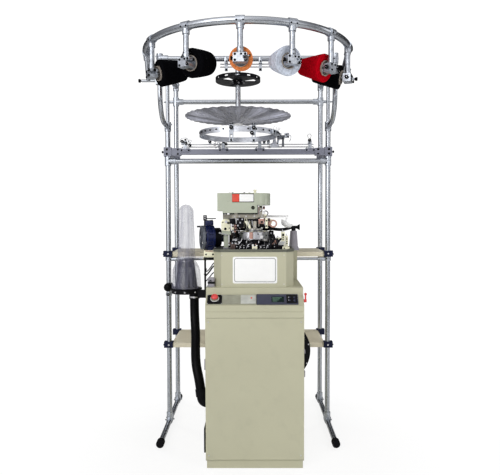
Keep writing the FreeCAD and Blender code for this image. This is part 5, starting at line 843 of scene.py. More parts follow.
def clamp_knob_set():
    """All clamp knobs of hangers, end posts, beam clamps and rod brackets."""
    piece = Piece("clamp_knob_set", slot=KNOB)
    for _, degrees, *_ in CONES:
        side = -heading(degrees)
        hand_knob(piece, ring_place(degrees, BLOCK_Z) + side * 37.3, side, 12, 14)
    for x, y, way in ((-588, 85, -1), (506, 55, 1)):
        hand_knob(piece, (x + way * 112.3, y, 2285), (way, 0, 0), 12, 22)
    for way, x in UPRIGHTS:
        hand_knob(piece, (x + way * 26.3, 400, 1878), (way, 0, 0), 9, 16)
    for x in BRACKET_XS:
        hand_knob(piece, (x, 400, 1954.1), UP, 8, 13)
    thing = piece.made()
    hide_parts("clamp_knobs")


def hanger_screws():
    """Socket screws, wing screws and rims on the cast cone blocks."""
    piece = Piece("hanger_screws", slot=STEEL)
    for _, degrees, *_ in CONES:
        side, out = heading(degrees), around(degrees)
        block = ring_place(degrees, BLOCK_Z)
        face = block + out * 23.1
        for across, up, radius in ((-26, 15, 4.8), (-26, -15, 4.8), (27, 15, 4.8), (6, 15.5, 4.2)):
            piece.bolt(KNOB, face + side * across + UP * up, out, radius, 5)
        hand_knob(piece, face + side * 29 - UP * 15.5, out, 8.5, 12, 3)
        piece.rod(STEEL, block + side * 37 + UP * 12, block + side * 49 + UP * 12, 3.5)
        piece.bolt(KNOB, block + side * 47 + UP * 12, side, 6.2, 7)
        for height in (30, 50):
            piece.bolt(KNOB, block + UP * height + out * 16.5, out, 3.6, 4)
        top = ring_place(degrees, 2445)
        for across in (-17, 17):
            piece.bolt(KNOB, top + side * across + out * 24 - UP * 6, out, 3.8, 4)
    piece.made()


def joint_screws():
    """Socket screws on the cast joints and on the dark clamps of beam and shelves."""
    piece = Piece("joint_screws", slot=STEEL)
    for side, x in UPRIGHTS:
        for z in (1816, 1146, 2050):
            for dz in (-14, 14) if z != 1146 else (0,):
                piece.bolt(KNOB, (x - side * 12, 382.5, z + dz), FRONT, 4.5, 5)
        for z in (1893, 1863):
            piece.bolt(KNOB, (x + side * 4, 373.5, z), FRONT, 6, 6)
            piece.bolt(KNOB, (x - side * 70, 378.5, z), FRONT, 5, 5)
        for z in (1182, 555):
            piece.bolt(STEEL, (x, 369.5, z), FRONT, 4.5, 5)
            piece.bolt(KNOB, (x + side * 34.1, 400, z - 4), (side, 0, 0), 6, 7)
        for y in (380, 420, 807, 847):
            piece.bolt(KNOB, (x + side * 22.5, y, 32), (side, 0, 0.2), 5, 6)
    piece.made()


# ------------------------------------------------------------------ wheel, beam and guide ring
def wheel_trim():
    """Bolts and a collar on the black wheel, with the two strap clamps' pointed tops."""
    piece = Piece("wheel_trim", slot=BLACK)
    centre = SHAFT + UP * 2277
    for k in range(6):
        at = centre + heading(60 * k + 20) * 38 - UP * 0.2
        piece.bolt(STEEL, at, (0, 0, -1), 4.5, 5)
    piece.turned(BLACK, [(16.8, -22), (26, -22), (29, -17), (29, -0.2), (16.8, -0.2)],
                 Matrix.Translation(centre), 40, closed=True)
    piece.bolt(STEEL, centre + Vector((6, -28.5, -11)), (0.2, -1, 0), 4, 6)
    for x in (-173, 40):
        for sign in (-1, 1):
            piece.plate("cast_joint", [(-10, 0), (10, 0), (10, 30), (4, 40), (-4, 40), (-10, 30)],
                        3, upright((x, 85 + sign * 21.5 - 1.5, 2386)))
        piece.bolt(KNOB, (x, 62, 2398), FRONT, 5, 6)
        piece.bolt(KNOB, (x, 76, 2352), FRONT, 5, 7)
    each(piece.rod, "copper", ((124.2, 85, 2386), (140, 85, 2386), 5.5),
         ((124.2, 85, 2369), (134, 85, 2369), 5.5))
    piece.made()


def eyelet_arm(piece, x, z, lean, length):
    """Ceramic thread eye on a bent wire that stands on a thin rod."""
    foot = Vector((x, 400, z))
    tip = foot + Vector((math.sin(lean), -0.35, math.cos(lean))).normalized() * length
    piece.rod(STEEL, foot - Vector((7, 0, 0)), foot + Vector((7, 0, 0)), 8.5)
    piece.wire(STEEL, [foot + UP * 6, foot.lerp(tip, 0.5) + Vector((3, 0, 2)), tip], 1.8)
    loop = [tip + Vector((8 * math.cos(a), 0, 8 + 8 * math.sin(a))) for a in angles(20)]
    piece.wire("ring_grey", loop, 2.4, 8, 1, closed=True)


def beam_trim():
    """Thread eyes, tensioners, knobs and springs along the thin rods over the beam."""
    piece = Piece("beam_trim", slot=STEEL)
    for x, z, lean, length in ((-440, 1929, 0.3, 16), (-268, 1929, 0.2, 20), (-236, 1912, -0.4, 18),
                               (108, 1912, -0.3, 26), (134, 1929, 0.1, 30)):
        eyelet_arm(piece, x, z, lean, length)
    piece.box("wheel_grey", (158, 386, 1962), (208, 402, 1990), 2)
    piece.box("cast_joint", (208.5, 388, 1972), (240, 400, 2006), 3)
    piece.box("ring_grey", (166, 384, 1990.2), (188, 398, 2004), 2)
    piece.plate("cast_joint", [(146, 1915), (160, 1915), (176, 1962), (162, 1966)], 5,
                upright((0, 397, 0)))
    piece.plate("wheel_grey", [(190, 1915), (206, 1915), (206, 1962), (192, 1962)], 5,
                upright((0, 397, 0)))
    for x, z in ((166, 1981), (198, 1970), (221, 1994), (233, 1980), (177, 1997), (160, 1935)):
        piece.bolt(KNOB, (x, 392.5 if z < 1950 else 386, z), FRONT, 3.8, 5)
    each(piece.wire, "ring_grey",
         ([(240, 394, 1990), (252, 392, 1984), (250, 392, 1962), (240, 394, 1948)], 2.2),
         ([(-505, 392, 1940), (-498, 386, 1966), (-470, 384, 1972), (-452, 388, 1966),
           (-446, 392, 1942)], 2.2),
         ([(-230, 390, 1944), (-240, 386, 1922), (-262, 384, 1900)], 2.2))
    for x, z, radius in ((-488, 1948, 12), (-463, 1936, 11), (-437, 1922, 11), (-300, 1948, 12),
                         (-205, 1946, 12), (-190, 1930, 11), (98, 1958, 13), (70, 1948, 12),
                         (378, 1956, 12)):
        hand_knob(piece, (x, 390.5, z), FRONT, radius, 16)
        piece.rod(STEEL, (x, 392, z), (x, 404, z), 4.5)
        piece.box("cast_joint", (x - 9, 391, min(z, 1936) - 7), (x + 9, 409, z + 7), 1.5)
    for x in BRACKET_XS:
        for dx in (-23, 23):
            piece.bolt(STEEL, (x + dx, 388, 1901.1), UP, 4.2, 5)
        piece.box("dark_bar", (x - 34, 379.5, 1875.5), (x + 34, 384.5, 1900), 1)
        for dx in (-24, 24):
            piece.bolt(KNOB, (x + dx, 379.5, 1888), FRONT, 4.5, 5)
    for x0, x1, z in ((92, 190, 1912), (-235, -216, 1929)):
        coil = coil_points(141, (x0, 400, z), ((x1 - x0) / 140, 0, 0), 7.2, ((0, 1, 0), UP))
        piece.wire(STEEL, coil, 0.9, 6, 1)
    piece.plate("ring_grey", [(-30, 0), (22, 0), (30, 18), (12, 30), (6, 62), (-10, 66), (-14, 34),
                              (-30, 26)], 4, upright((142, 393.5, 1906)))
    piece.wire(STEEL, [(372, 398, 1972), (366, 392, 1990), (378, 388, 1998), (390, 392, 1990),
                       (386, 398, 1972)], 2.2)
    piece.made()


GUIDE_AT, GUIDE_R = (-100, 134, 0), 246


def guide_trim():
    """Rollers, screws and thread eyes on the guide ring and its two square holders."""
    piece = Piece("guide_trim", slot=STEEL)
    centre = Vector(GUIDE_AT)

    def near(x):
        """The ring's front edge at this x."""
        return centre.y - math.sqrt(GUIDE_R ** 2 - (x - centre.x) ** 2)

    for x, z in ((-136, 1962), (-3, 1962), (-14, 1930)):
        hand_knob(piece, (x, near(x) - 14.3, z), FRONT, 13, 14)
    for x in (-136, -3):
        piece.bolt(KNOB, (x - 6, near(x) - 14, 1984), FRONT, 4, 4)
        piece.bolt(KNOB, (x + 6, near(x) - 14, 1984), FRONT, 4, 4)
        piece.bolt(KNOB, (x, near(x) - 14, 1888), FRONT, 5, 6)
    for degrees in list(range(-75, -15, 12)) + list(range(195, 262, 11)):
        way = heading(degrees)
        foot = centre + way * (GUIDE_R + 0.1) + UP * 1958
        piece.bolt(KNOB, foot, way, 4.2, 6)
    for degrees in (-32, -24, -17, -9):
        way = heading(degrees)
        foot = centre + way * (GUIDE_R + 0.2) + UP * 1952
        piece.box("cast_joint", (-12, 0, -10), (12, 16, 16), 2,
                  Matrix.Translation(foot) @ turned_by(degrees - 90))
        piece.bolt(KNOB, foot + way * 16 + UP * 3, way, 4.5, 6)
        top = foot + way * 10 + UP * 16
        piece.wire(STEEL, [top - UP * 2, top + UP * 14 + way * 4, top + UP * 22 + way * 12], 1.6)
    piece.made()


def hub_trim():
    """White hub collar with black set screws under the dish."""
    piece = Piece("hub_trim", slot="white_plastic")
    place = Matrix.Translation(SHAFT + UP * 1992)
    piece.turned("white_plastic", [(16.8, -12), (30, -12), (34, -7), (34, 4), (23.5, 4.5),
                                   (16.8, 4.5)], place, 40, closed=True)
    for degrees in (-140, -100, -65, -30, 40, 120):
        way = heading(degrees)
        piece.bolt(KNOB, SHAFT + UP * 1989 + way * 33.9, way, 3.5, 4)
    piece.made()


# ------------------------------------------------------------------ needle mechanism
NEEDLES = 84


def needle_set():
    """Latch needles standing in the grooves, their hooks just over the cylinder's edge."""
    piece = Piece("needle_set", "cylinder", STEEL)
    for k in range(NEEDLES):
        way = heading(-90 + 360 / NEEDLES * k)
        foot = way * 48.9
        piece.wire(STEEL, [foot + UP * 1331, foot + UP * 1351.8, foot + UP * 1353.4 + way * 0.8,
                           foot + UP * 1352.6 + way * 1.6], 0.45, 5, 1)
    piece.made()


def curved_plate(piece, finish, radius, start, end, low, high, thick):
    """Plate bent round the needle axis between two angles from the front, towards +X."""
    part = bmesh.new()
    steps = max(2, int((end - start) / 3))
    rows = []
    for k in range(steps + 1):
        way = around(start + (end - start) * k / steps)
        corners = ((radius, low), (radius + thick, low), (radius + thick, high), (radius, high))
        rows.append([part.verts.new((way * r + UP * z) * MM) for r, z in corners])
    for a, b in zip(rows, rows[1:]):
        for i in range(4):
            j = (i + 1) % 4
            part.faces.new((a[i], a[j], b[j], b[i]))
    part.faces.new(rows[0][::-1])
    part.faces.new(rows[-1])
    bmesh.ops.recalc_face_normals(part, faces=part.faces[:])
    piece.add(part, finish)


def cap_trim():
    """Screws and cam plates on the bright ring round the cylinder, and curved strips on its face:
    painted reflections.
    """
    piece = Piece("cap_trim", slot="brushed")
    # light, coloured and dark strips on the polished band: painted reflections of the stripes it
    # mirrors
    curved_plate(piece, "copper", 91.2, -19, -6, 1302, 1342, 1.6)
    curved_plate(piece, "white_plastic", 91.2, 23, 34, 1303, 1322, 2.2)
    curved_plate(piece, BLACK, 91.2, -5.4, -4.2, 1300, 1344, 0.8)
    curved_plate(piece, "label_grey", 91.2, 38, 62, 1302, 1341, 1.2)
    for degrees, z in ((14, 1331), (50, 1322), (-52, 1334), (-70, 1322), (72, 1322)):
        piece.bolt(KNOB, around(degrees, 92.5, z), around(degrees), 3.2, 4)
    for k in range(12):
        degrees = 30 * k + 8
        piece.bolt(STEEL, around(degrees, 78, 1345.1), UP, 3.4, 4)
        piece.box("cream_paint", (-6, -10, 0), (6, 12, 3.5), 0.8,
                  Matrix.Translation(around(degrees + 14, 74, 1345.1)) @ turned_by(degrees + 14))
    piece.made()


def station_gear():
    """What stands on and before the nine black slide housings: actuators, rods, plugs, springs."""
    piece = Piece("station_gear", slot=KNOB)
    body_tops = (KNOB, "brushed", KNOB, BLACK, KNOB, "brushed", KNOB, BLACK, KNOB)
    for k in range(9):
        degrees = -128 + 32 * k
        turn = turned_by(degrees)

        def here(x, y, z):
            return turn @ Vector((x, -y, z))

        piece.box(body_tops[k], (-17, -134, 1287.5), (17, -112, 1300), 1.5, turn)
        piece.bolt(STEEL, here(-10, 126, 1300), UP, 3.4, 4)
        piece.bolt(STEEL, here(10, 126, 1300), UP, 3.4, 4)
        piece.rod(STEEL, here(-7, 142, 1262), here(-7, 156, 1262), 4.2)
        piece.rod("copper" if k % 3 == 1 else STEEL, here(7, 142, 1272), here(7, 158, 1272), 3.6)
        piece.rod("white_plastic" if k in (4, 6) else "dark_brown", here(0, 142.1, 1255),
                  here(0, 150, 1255), 4.8)
        piece.box(KNOB, (21, -140, 1249), (30, -118, 1279), 1.5, turn)
        piece.box("cast_joint", (-30, -136, 1252), (-21.5, -122, 1268), 1.2, turn)
        piece.wire(STEEL, [here(25.5, 130, 1278), here(26.5, 128, 1292), here(30, 118, 1296.5),
                           here(40, 110, 1294)], 1.6)
        piece.wire("black_rubber", [here(-26, 136, 1262), here(-30, 150, 1262),
                                    here(-31, 156, 1254), here(-30, 158, 1244.5)], 2.8)
        coil = coil_points(61, (-14.5, 138.5, 1264), (0, 0, 0.3), 3, ((1, 0, 0), (0, 1, 0)))
        coil = [here(*point) for point in coil]
        piece.wire(STEEL, coil, 0.6, 5, 1)
    piece.made()


def tray_gear():
    """Levers, blocks and thread eyes that stand on the tray round the cam ring."""
    piece = Piece("tray_gear", slot="cream_paint")
    low = TRAY
    piece.box("cream_paint", (-14, -178, low), (16, -160, 1262), 1.5)
    each(piece.rod, "white_plastic", ((-10, -169, 1262), (-10, -169, 1274), 6.2),
         ((12, -171, 1262), (12, -171, 1270), 5.5))
    piece.rod(STEEL, (0, -178, 1250), (0, -184, 1250), 4)
    for x, y, h, finish in ((-104, -150, 30, KNOB), (-128, -128, 52, BLACK), (-62, -168, 22, KNOB),
                            (56, -170, 24, KNOB), (86, -158, 34, BLACK), (118, -138, 30, KNOB)):
        piece.box(finish, (x - 10, y - 8, low), (x + 10, y + 8, low + h), 1.5)
        piece.rod(STEEL, (x, y - 8, low + h * 0.6), (x, y - 14, low + h * 0.6), 3.2)
        piece.bolt(STEEL, (x, y, low + h), UP, 4, 5)
    for x0, x1, top in ((-52, -20, 40), (-92, -70, 30), (26, 48, 28), (64, 92, 36)):
        piece.box(BLACK, (x0, -176, low), (x1, -160, low + top), 2)
        piece.rod(STEEL, ((x0 + x1) / 2, -176, low + top * 0.5),
                  ((x0 + x1) / 2, -180, low + top * 0.5), 3.4)
        piece.wire(STEEL, [(x0 + 4, -179, low + top * 0.2), ((x0 + x1) / 2, -182, low + top * 0.75),
                           (x1 - 3, -179, low + top * 0.9)], 1.4)
    for x in (95, 132):
        piece.plate(BLACK, [(-6, 0), (6, 0), (10, 40), (30, 62), (24, 70), (0, 50)], 5,
                    upright((x, -160 + 0.3 * (x - 95), low)))
    for k in range(4):
        piece.plate("grey_duct", [(-4, 0), (4, 0), (5, 26), (-3, 30)], 1.8,
                    upright((142 + 9 * k, -112, 1262)) @ turned_by(-18))
    piece.box(BLACK, (136, -116, low), (174, -106, 1266), 1)
    piece.made()


def back_gear():
    """Dark cutter and transfer units behind the dial, on two posts from the tray."""
    piece = Piece("back_gear", slot=BLACK)
    for x in (-62, 72):
        piece.rod(STEEL, (x, 140, TRAY), (x, 140, 1352), 7)
        piece.rod(KNOB, (x, 140, TRAY), (x, 140, 1250), 12)
    each(piece.box, BLACK, ((-112, 126, 1348), (112, 152, 1382), 2),
         ((-160, 126, TRAY), (-90, 152, 1346), 3))
    for x0, x1, z1, finish in ((-108, -76, 1416, BLACK), (-70, -46, 1424, KNOB),
                               (-42, -10, 1410, "dark_brown"), (-4, 30, 1424, BLACK),
                               (36, 60, 1405, "dark_brown"), (64, 104, 1398, KNOB)):
        piece.box(finish, (x0, 122, 1382.2), (x1, 150, z1), 2)
        piece.bolt(STEEL, ((x0 + x1) / 2, 122, (1382 + z1) / 2), FRONT, 4, 5)
    for x in (-92, -30, 12, 50, 90):
        piece.bolt(STEEL, (x, 126, 1364), FRONT, 4.2, 5)
    piece.box("dark_brown", (-150, 116, 1290), (-112, 125.8, 1330), 2)
    piece.box(KNOB, (92, 126, TRAY), (124, 152, 1346), 3)
    for x, z in ((-154, 1336), (-98, 1336), (-98, 1270), (108, 1330)):
        piece.bolt(STEEL, (x, 126, z), FRONT, 4, 5)
    for x, drop in ((-100, 20), (-40, 12), (30, 16), (100, 22)):
        piece.wire("black_rubber", [(x, 150, 1370), (x + 4, 166, 1362), (x + 10, 170, 1320 - drop),
                                    (x + 12, 166, 1242.5)], 3.2)
    piece.made()


def feed_station():
    """Yarn clamp and its lever beside the left column, on a post behind it."""
    piece = Piece("feed_station", slot="grey_casting")
    each(piece.rod, STEEL, ((-128, 112, TRAY), (-128, 112, 1396), 6.5),
         ((-128, 112, 1378), (-122, -36, 1378), 5))
    piece.rod(KNOB, (-128, 112, TRAY), (-128, 112, 1250), 11)
    piece.box("dark_brown", (-138, -48, 1352), (-104, -10, 1392), 2)
    piece.box(BLACK, (-136, -46, 1392), (-112, -14, 1410), 1.5)
    piece.box("cream_paint", (-136, -52.5, 1356), (-124, -48.1, 1372), 0.8)
    piece.box("copper", (-120, -53.5, 1362), (-108, -48.1, 1386), 0.8)
    piece.rod("copper", (-118, -30, 1340), (-118, -30, 1352), 7)
    piece.rod("white_plastic", (-130, -30, 1338), (-130, -30, 1352), 5.2)
    piece.bolt(STEEL, (-129, -48.1, 1384), FRONT, 3.8, 4)
    piece.bolt(KNOB, (-114, -53.5, 1374), FRONT, 3.5, 4)
    piece.wire(STEEL, [(-108, -40, 1358), (-102, -52, 1350), (-100, -66, 1356), (-102, -72, 1364)],
               1.6)
    piece.made()


def left_arms():
    """Black levers, yarn clamps and bent wires left of the cylinder."""
    piece = Piece("left_arms", slot=BLACK)
    for x, y, top, lean in ((-130, -96, 1318, 10), (-116, -112, 1338, -8), (-136, -112, 1296, 16),
                            (-100, -128, 1314, 14)):
        length = top - TRAY
        piece.plate(BLACK, [(-7, 0), (7, 0), (6 + lean, length * 0.7), (10 + lean, length),
                            (-4 + lean, length), (-6, length * 0.5)], 6, upright((x, y, TRAY)))
        piece.bolt(STEEL, (x + lean * 0.6, y - 6, TRAY + length * 0.6), FRONT, 3.6, 4)
        piece.wire(STEEL, [(x - 6, y - 8, 1252), (x + 4, y - 12, 1270), (x + 22, y - 12, 1292),
                           (x + 26, y - 8, 1304)], 1.8)
    for x, y in ((-112, -148), (-130, -138)):
        piece.box("dark_brown", (x - 11, y - 9, TRAY), (x + 11, y + 9, 1274), 1.5)
        piece.rod(STEEL, (x, y, 1274), (x, y, 1283), 5)
    piece.made()


def right_arms():
    """Dark swinging arms and blades between the cylinder and the selector blocks."""
    piece = Piece("right_arms", slot=BLACK)
    for x, y, top, lean in ((112, -106, 1318, -16), (136, -98, 1330, -20), (158, -90, 1306, -22)):
        length = top - TRAY
        piece.plate(BLACK, [(-9, 0), (9, 0), (10 + lean, length * 0.75), (4 + lean, length),
                            (-12 + lean, length), (-10 + lean * 0.5, length * 0.5)], 8,
                    upright((x, y, TRAY)))
        piece.bolt("copper", (x + lean * 0.6, y - 8, TRAY + length * 0.55), FRONT, 4.5, 5)
    piece.wire("copper", [(98, -132, 1252), (104, -136, 1270), (122, -134, 1284), (130, -124, 1276),
                          (140, -120, 1256)], 2.8)
    piece.box("cream_paint", (166, -132, TRAY), (208, -110, 1257.5), 2)
    piece.bolt(KNOB, (176, -132, 1249), FRONT, 3.4, 4)
    piece.made()


def suction_fork():
    """Black suction tube that comes over the ring from the right and ends behind the dial."""
    piece = Piece("suction_fork", slot=BLACK)
    piece.wire(BLACK, [(106, 94, 1364), (84, 92, 1356), (58, 92, 1357), (30, 96, 1358),
                       (0, 100, 1360)], 8.5, 16, 6)
    piece.turned(KNOB, [(8.7, 0), (11.5, 0), (11.5, 10), (8.7, 10)],
                 aim((70, 92, 1356.2), (1, 0, 0)), 28, closed=True)
    piece.box(BLACK, (22, 98.5, 1366), (34, 126, 1376), 1.5)
    piece.made()


def selector_trim():
    """Windows, screws and caps on the ivory selector blocks."""
    piece = Piece("selector_trim", slot="cream_paint")
    for x0, x1, y0, height in ((132, 158, -42, 65), (164, 186, -40, 101), (190, 206, -36, 77)):
        top = 1241 + height
        middle = (x0 + x1) / 2
        piece.box("white_plastic", (x0 + 2, y0 + 2, top + 0.1), (x1 - 2, y0 + 30, top + 5), 1.5)
        piece.box(BLACK, (x0 + 5.2, y0 + 1.5, top - 25.8), (x1 - 5.2, y0 + 5.5, top - 10.2), 0.5)
        for z in (top - 34, top - 46):
            piece.bolt(KNOB, (middle, y0, z), FRONT, 2.8, 3)
        piece.rod(STEEL, (middle - 3, y0 + 14, top + 4), (middle - 3, y0 + 14, top + 14), 3)
    piece.made()


def head_gear():
    """What hangs on and under the dial head's plate at its front, and a black strip of painted
    shade under the cover.
    """
    piece = Piece("head_gear", "head", BLACK)
    each(piece.box, BLACK, ((-107, -130, 1372), (-62, -108, 1430), 2),
         ((-107, -110, 1404), (-90, -72.3, 1428), 1.5),
         ((-62, -124.5, 1409), (78, -110, 1422.5), 1.5),
         ((22, -110.5, 1409), (34, -72.3, 1430.5), 1.5),
         ((-19, -126.5, 1368), (-7, -117.5, 1410), 1.2),
         ((-150, -68, 1392), (-112, -56, 1426.2), 1.5),
         # black strip in the gap between cover and plate: painted shade
         ((-150, -62, 1449.2), (1, -50, 1456.6), 0.8))
    for x, z in ((-98, 1420), (-72, 1420), (-98, 1383), (-84, 1400)):
        piece.bolt(STEEL, (x, -130, z), FRONT, 3.6, 4)
    piece.plate("cream_paint", [(0, 50), (14, 54), (20, 36), (36, 14), (40, -4), (28, -6), (20, 10),
                                (4, 30)], 5, upright((-60, -120, 1370)))
    each(piece.rod, STEEL, ((-52, -125.5, 1416), (-52, -104.5, 1416), 4.2),
         ((3, -128.5, 1380), (3, -134, 1380), 4))
    each(piece.bolt, KNOB, ((-52, -125.5, 1416), FRONT, 4.5, 5),
         ((71.5, -127.5, 1412), FRONT, 3.5, 4), ((71.5, -127.5, 1380), FRONT, 3.5, 4))
    piece.box("grey_casting", (-6, -128.5, 1366), (12, -113.5, 1409.5), 2)
    piece.box(KNOB, (12.5, -125.5, 1370), (21, -115.5, 1409.5), 1.2)
    piece.box("copper", (23.5, -129, 1392), (60, -113, 1422.5), 3)
    hand_knob(piece, (44, -129, 1404), FRONT, 7.5, 10)
    piece.rod(KNOB, (44, -121, 1392), (44, -121, 1372), 13.5)
    piece.rod("white_plastic", (44, -121, 1372), (44, -121, 1366.5), 6)
    each(piece.box, "cream_paint", ((64, -127.5, 1366.5), (79, -113.5, 1426.5), 3),
         ((96.5, -58, 1392), (108, -36, 1421), 2))
    ring_at = Vector((112, -118, 1394))
    loop = [ring_at + Vector((19 * math.cos(a), 4 * math.sin(a), 19 * math.sin(a)))
            for a in angles(36)]
    piece.wire("copper", loop, 4.8, 12, 1, closed=True)
    piece.wire("copper", [(94, -118, 1398), (86, -119, 1404), (78, -119, 1404)], 3)
    each(piece.box, "dark_brown", ((56, -60, 1398), (96, -28, 1426.2), 2),
         ((-89, -104, 1368), (-70, -97.5, 1426.2), 1))
    piece.rod("copper", (88, -46, 1398), (88, -46, 1380), 8.5)
    for x, lean in ((-46, 0.2), (-30, -0.25), (-14, 0.15), (56, 0.3)):
        piece.wire(STEEL, [(x, -125.5, 1412), (x + 12 * lean, -130, 1398),
                           (x + 30 * lean, -128, 1380), (x + 30 * lean, -120, 1370.5)], 1.5)
    piece.rod("cream_paint", (60, -86, 1443.5), (73, -86, 1443.5), 5.5)
    for x in (-118, -90, -50, 0, 46):
        piece.bolt(STEEL, (x, -72, 1438), FRONT, 3.6, 4)
    for index, x in enumerate((-186, -172, -146, -128)):
        piece.box(KNOB if index % 2 else BLACK, (x - 6, -26.5, 1449.2), (x + 6, -12, 1463), 1.5)
        piece.bolt(STEEL, (x, -20, 1463), UP, 3.2, 4)
    piece.made()


def nose_gear():
    """Small parts under the cover's raised nose, on top of the head plate."""
    piece = Piece("nose_gear", "head", BLACK)
    piece.box(BLACK, (3.5, -71.5, 1449.2), (22.5, -55, 1501.5), 2)
    each(piece.box, "copper", ((23.5, -70, 1449.2), (28.5, -50, 1496), 1.2),
         ((50.5, -68, 1480.5), (64.5, -58, 1498), 1.5))
    piece.box("white_plastic", (50, -69, 1449.2), (66, -56, 1480), 2)
    piece.rod(STEEL, (58, -69.5, 1466), (58, -75, 1466), 4.5)
    for x, z in ((12, 1494), (40, 1493.5), (57.5, 1490), (12, 1466), (39, 1470)):
        piece.bolt(KNOB, (x, -70.5, z), FRONT, 4.2, 5)
    piece.wire(STEEL, [(30, -73, 1448.5), (31, -76, 1462), (41, -77, 1476), (50, -74, 1484)], 2)
    piece.wire("black_rubber", [(66, -60, 1470), (78, -62, 1466), (82, -58, 1452), (70, -50, 1440)],
               2.8)
    piece.made()


def cover_trim():
    """Cream knob and two pins on top of the head cover, and a rubber ring on its front."""
    piece = Piece("cover_trim", "head", "cream_paint")
    piece.turned("cream_paint", [(0, 0), (9.5, 0), (9.5, 3), (6.5, 6), (6.5, 10), (10.5, 13),
                                 (10.5, 18), (8, 21), (0, 22)],
                 Matrix.Translation((4, -60, 1577.1)), 28)
    for x in (-130, -60):
        piece.rod(KNOB, (x, -78, 1577.1), (x, -78, 1580), 6.2)
        piece.rod(STEEL, (x, -78, 1580), (x, -78, 1583), 3.6)
    piece.turned("black_rubber", [(6.8, 0), (9.8, 0), (10.6, 1.2), (9.8, 2.2), (6.8, 2.2)],
                 aim((-8, -98.1, 1489), FRONT), 28, closed=True)
    piece.made()


def column_trim():
    """Plate with black discs of painted shade for its holes, screws and the small silver lever of
    the left column.
    """
    piece = Piece("column_trim", slot="cream_paint")
    piece.plate("cream_paint", [(-200, 1352), (-146, 1346), (-144.5, 1404), (-152, 1419),
                                (-190, 1421), (-201, 1408)], 2.4, upright((0, -45.3, 0)))
    # black discs on the plate stand in for its holes: painted shade
    for x, z, radius in ((-158, 1398, 7.2), (-191, 1402, 4), (-176, 1362, 7.8), (-152, 1366, 3.4)):
        piece.rod(BLACK, (x, -47.5, z), (x, -48.6, z), radius)
    each(piece.rod, STEEL, ((-172, -47.8, 1405), (-172, -50.5, 1405), 8.5),
         ((-173, -24.3, 1326), (-173, -50, 1326), 5),
         ((-205.5, -48, 1335.8), (-214, -48, 1338), 6))
    piece.wire(STEEL, [(-166, -47, 1323.5), (-184, -48, 1330), (-206, -48, 1336)], 3.4)
    piece.box("column_paint", (-190, -34, TRAY), (-136, -24.5, 1247.5), 1)
    for x in (-183, -143):
        piece.bolt(STEEL, (x, -29, 1247.5), UP, 3.6, 4)
    piece.made()


# ------------------------------------------------------------------ drive side and receiver
def motor_place():
    """The motor's axis is local X, out of the end that the hand wheel turns at."""
    return Matrix.Translation((-256, 62, 1306)) @ turned_by(195)


def motor_trim():
    """Terminal box over the motor, its cable gland and the ring of screws on the end shield."""
    piece = Piece("motor_trim", slot="navy_motor")
    place = motor_place()
    for k in range(6):
        turn = math.radians(60 * k + 30)
        spot = place @ Vector((54.1, 60 * math.cos(turn), 60 * math.sin(turn)))
        piece.bolt(STEEL, spot, place.to_3x3() @ Vector((1, 0, 0)), 4.2, 4)
    piece.box("navy_motor", (4, -26, 74.5), (50, 26, 104), 3, place)
    piece.box(BLACK, (6, -24, 104), (48, 24, 108), 1.5, place)
    for x, y in ((11, -19), (43, -19), (11, 19), (43, 19)):
        piece.bolt(STEEL, place @ Vector((x, y, 108)), UP, 2.6, 3)
    piece.rod(KNOB, place @ Vector((16, -26, 88)), place @ Vector((16, -40, 88)), 7.5)
    piece.turned(BLACK, [(56.5, -40), (60.5, -40), (60.5, -4), (56.5, -4)],
                 place @ turned_by(90, "Y"), 48, closed=True)
    piece.made()


def wheel_grip():
    """Turning handle and screws on the hand wheel's face."""
    piece = Piece("wheel_grip", "hand_wheel", "grey_casting")
    place = motor_place()
    face = 78.2
    out = place.to_3x3() @ Vector((1, 0, 0))
    piece.rod(STEEL, place @ Vector((face, 0, 68.5)), place @ Vector((face + 4, 0, 68.5)), 6)
    piece.turned(KNOB, [(0, 4), (5.2, 4), (5.8, 8), (4.8, 14), (5.8, 21), (5.2, 24.5), (0, 26)],
                 aim(place @ Vector((face, 0, 68.5)), out), 24)
    piece.bolt(STEEL, place @ Vector((face + 4, 0, 0)), out, 7, 5)
    for k in range(3):
        turn = math.radians(120 * k + 60)
        piece.bolt(STEEL, place @ Vector((face + 4, 12.5 * math.cos(turn), 12.5 * math.sin(turn))),
                   out, 2.2, 2)
    piece.made()


def deck_filter():
    """Small dark cylinder with a bracket and a knob on the deck left of the neck."""
    piece = Piece("deck_filter", slot="column_paint")
    place = Matrix.Translation((-253.5, -178, 1027.2))
    piece.turned("column_paint", [(0, 0), (22.5, 0), (22.5, 6), (20.5, 8), (20.5, 40), (22.5, 42),
                                  (22.5, 48), (18, 53), (0, 53)], place, 40)
    piece.turned(BLACK, [(20.7, 18), (21.6, 18), (21.6, 30), (20.7, 30)], place, 40, closed=True)
    hand_knob(piece, (-253.5, -199.5, 1062), (-0.35, -1, 0), 7.5, 10)
    piece.box("cast_joint", (-262, -158, 1027.2), (-245, -130, 1040), 1.5)
    piece.bolt(STEEL, (-253.5, -140, 1040), UP, 4, 5)
    piece.made()


def neck_left():
    """Cream block with a copper top at the neck's left, behind the cables."""
    piece = Piece("neck_left_gear", slot="cream_paint")
    piece.box("cream_paint", (-306, -20, 1186), (-242.5, 16, 1222), 3)
    piece.box("copper", (-302, -16, 1222), (-246.5, 12, 1226.5), 1.5)
    piece.box(BLACK, (-312, -26, 1172), (-239.5, 20, 1185.8), 1.5)
    for x in (-296, -254):
        piece.bolt(KNOB, (x, -20, 1205), FRONT, 4, 4)
    piece.made()


def cable(name, points, radius):
    """Free cable with one end in the neck and the other in a fixed part."""
    points, radius = [point * MM for point in points], radius * MM
    thing = round_line(name, points, radius, "black_rubber", (4, 12))


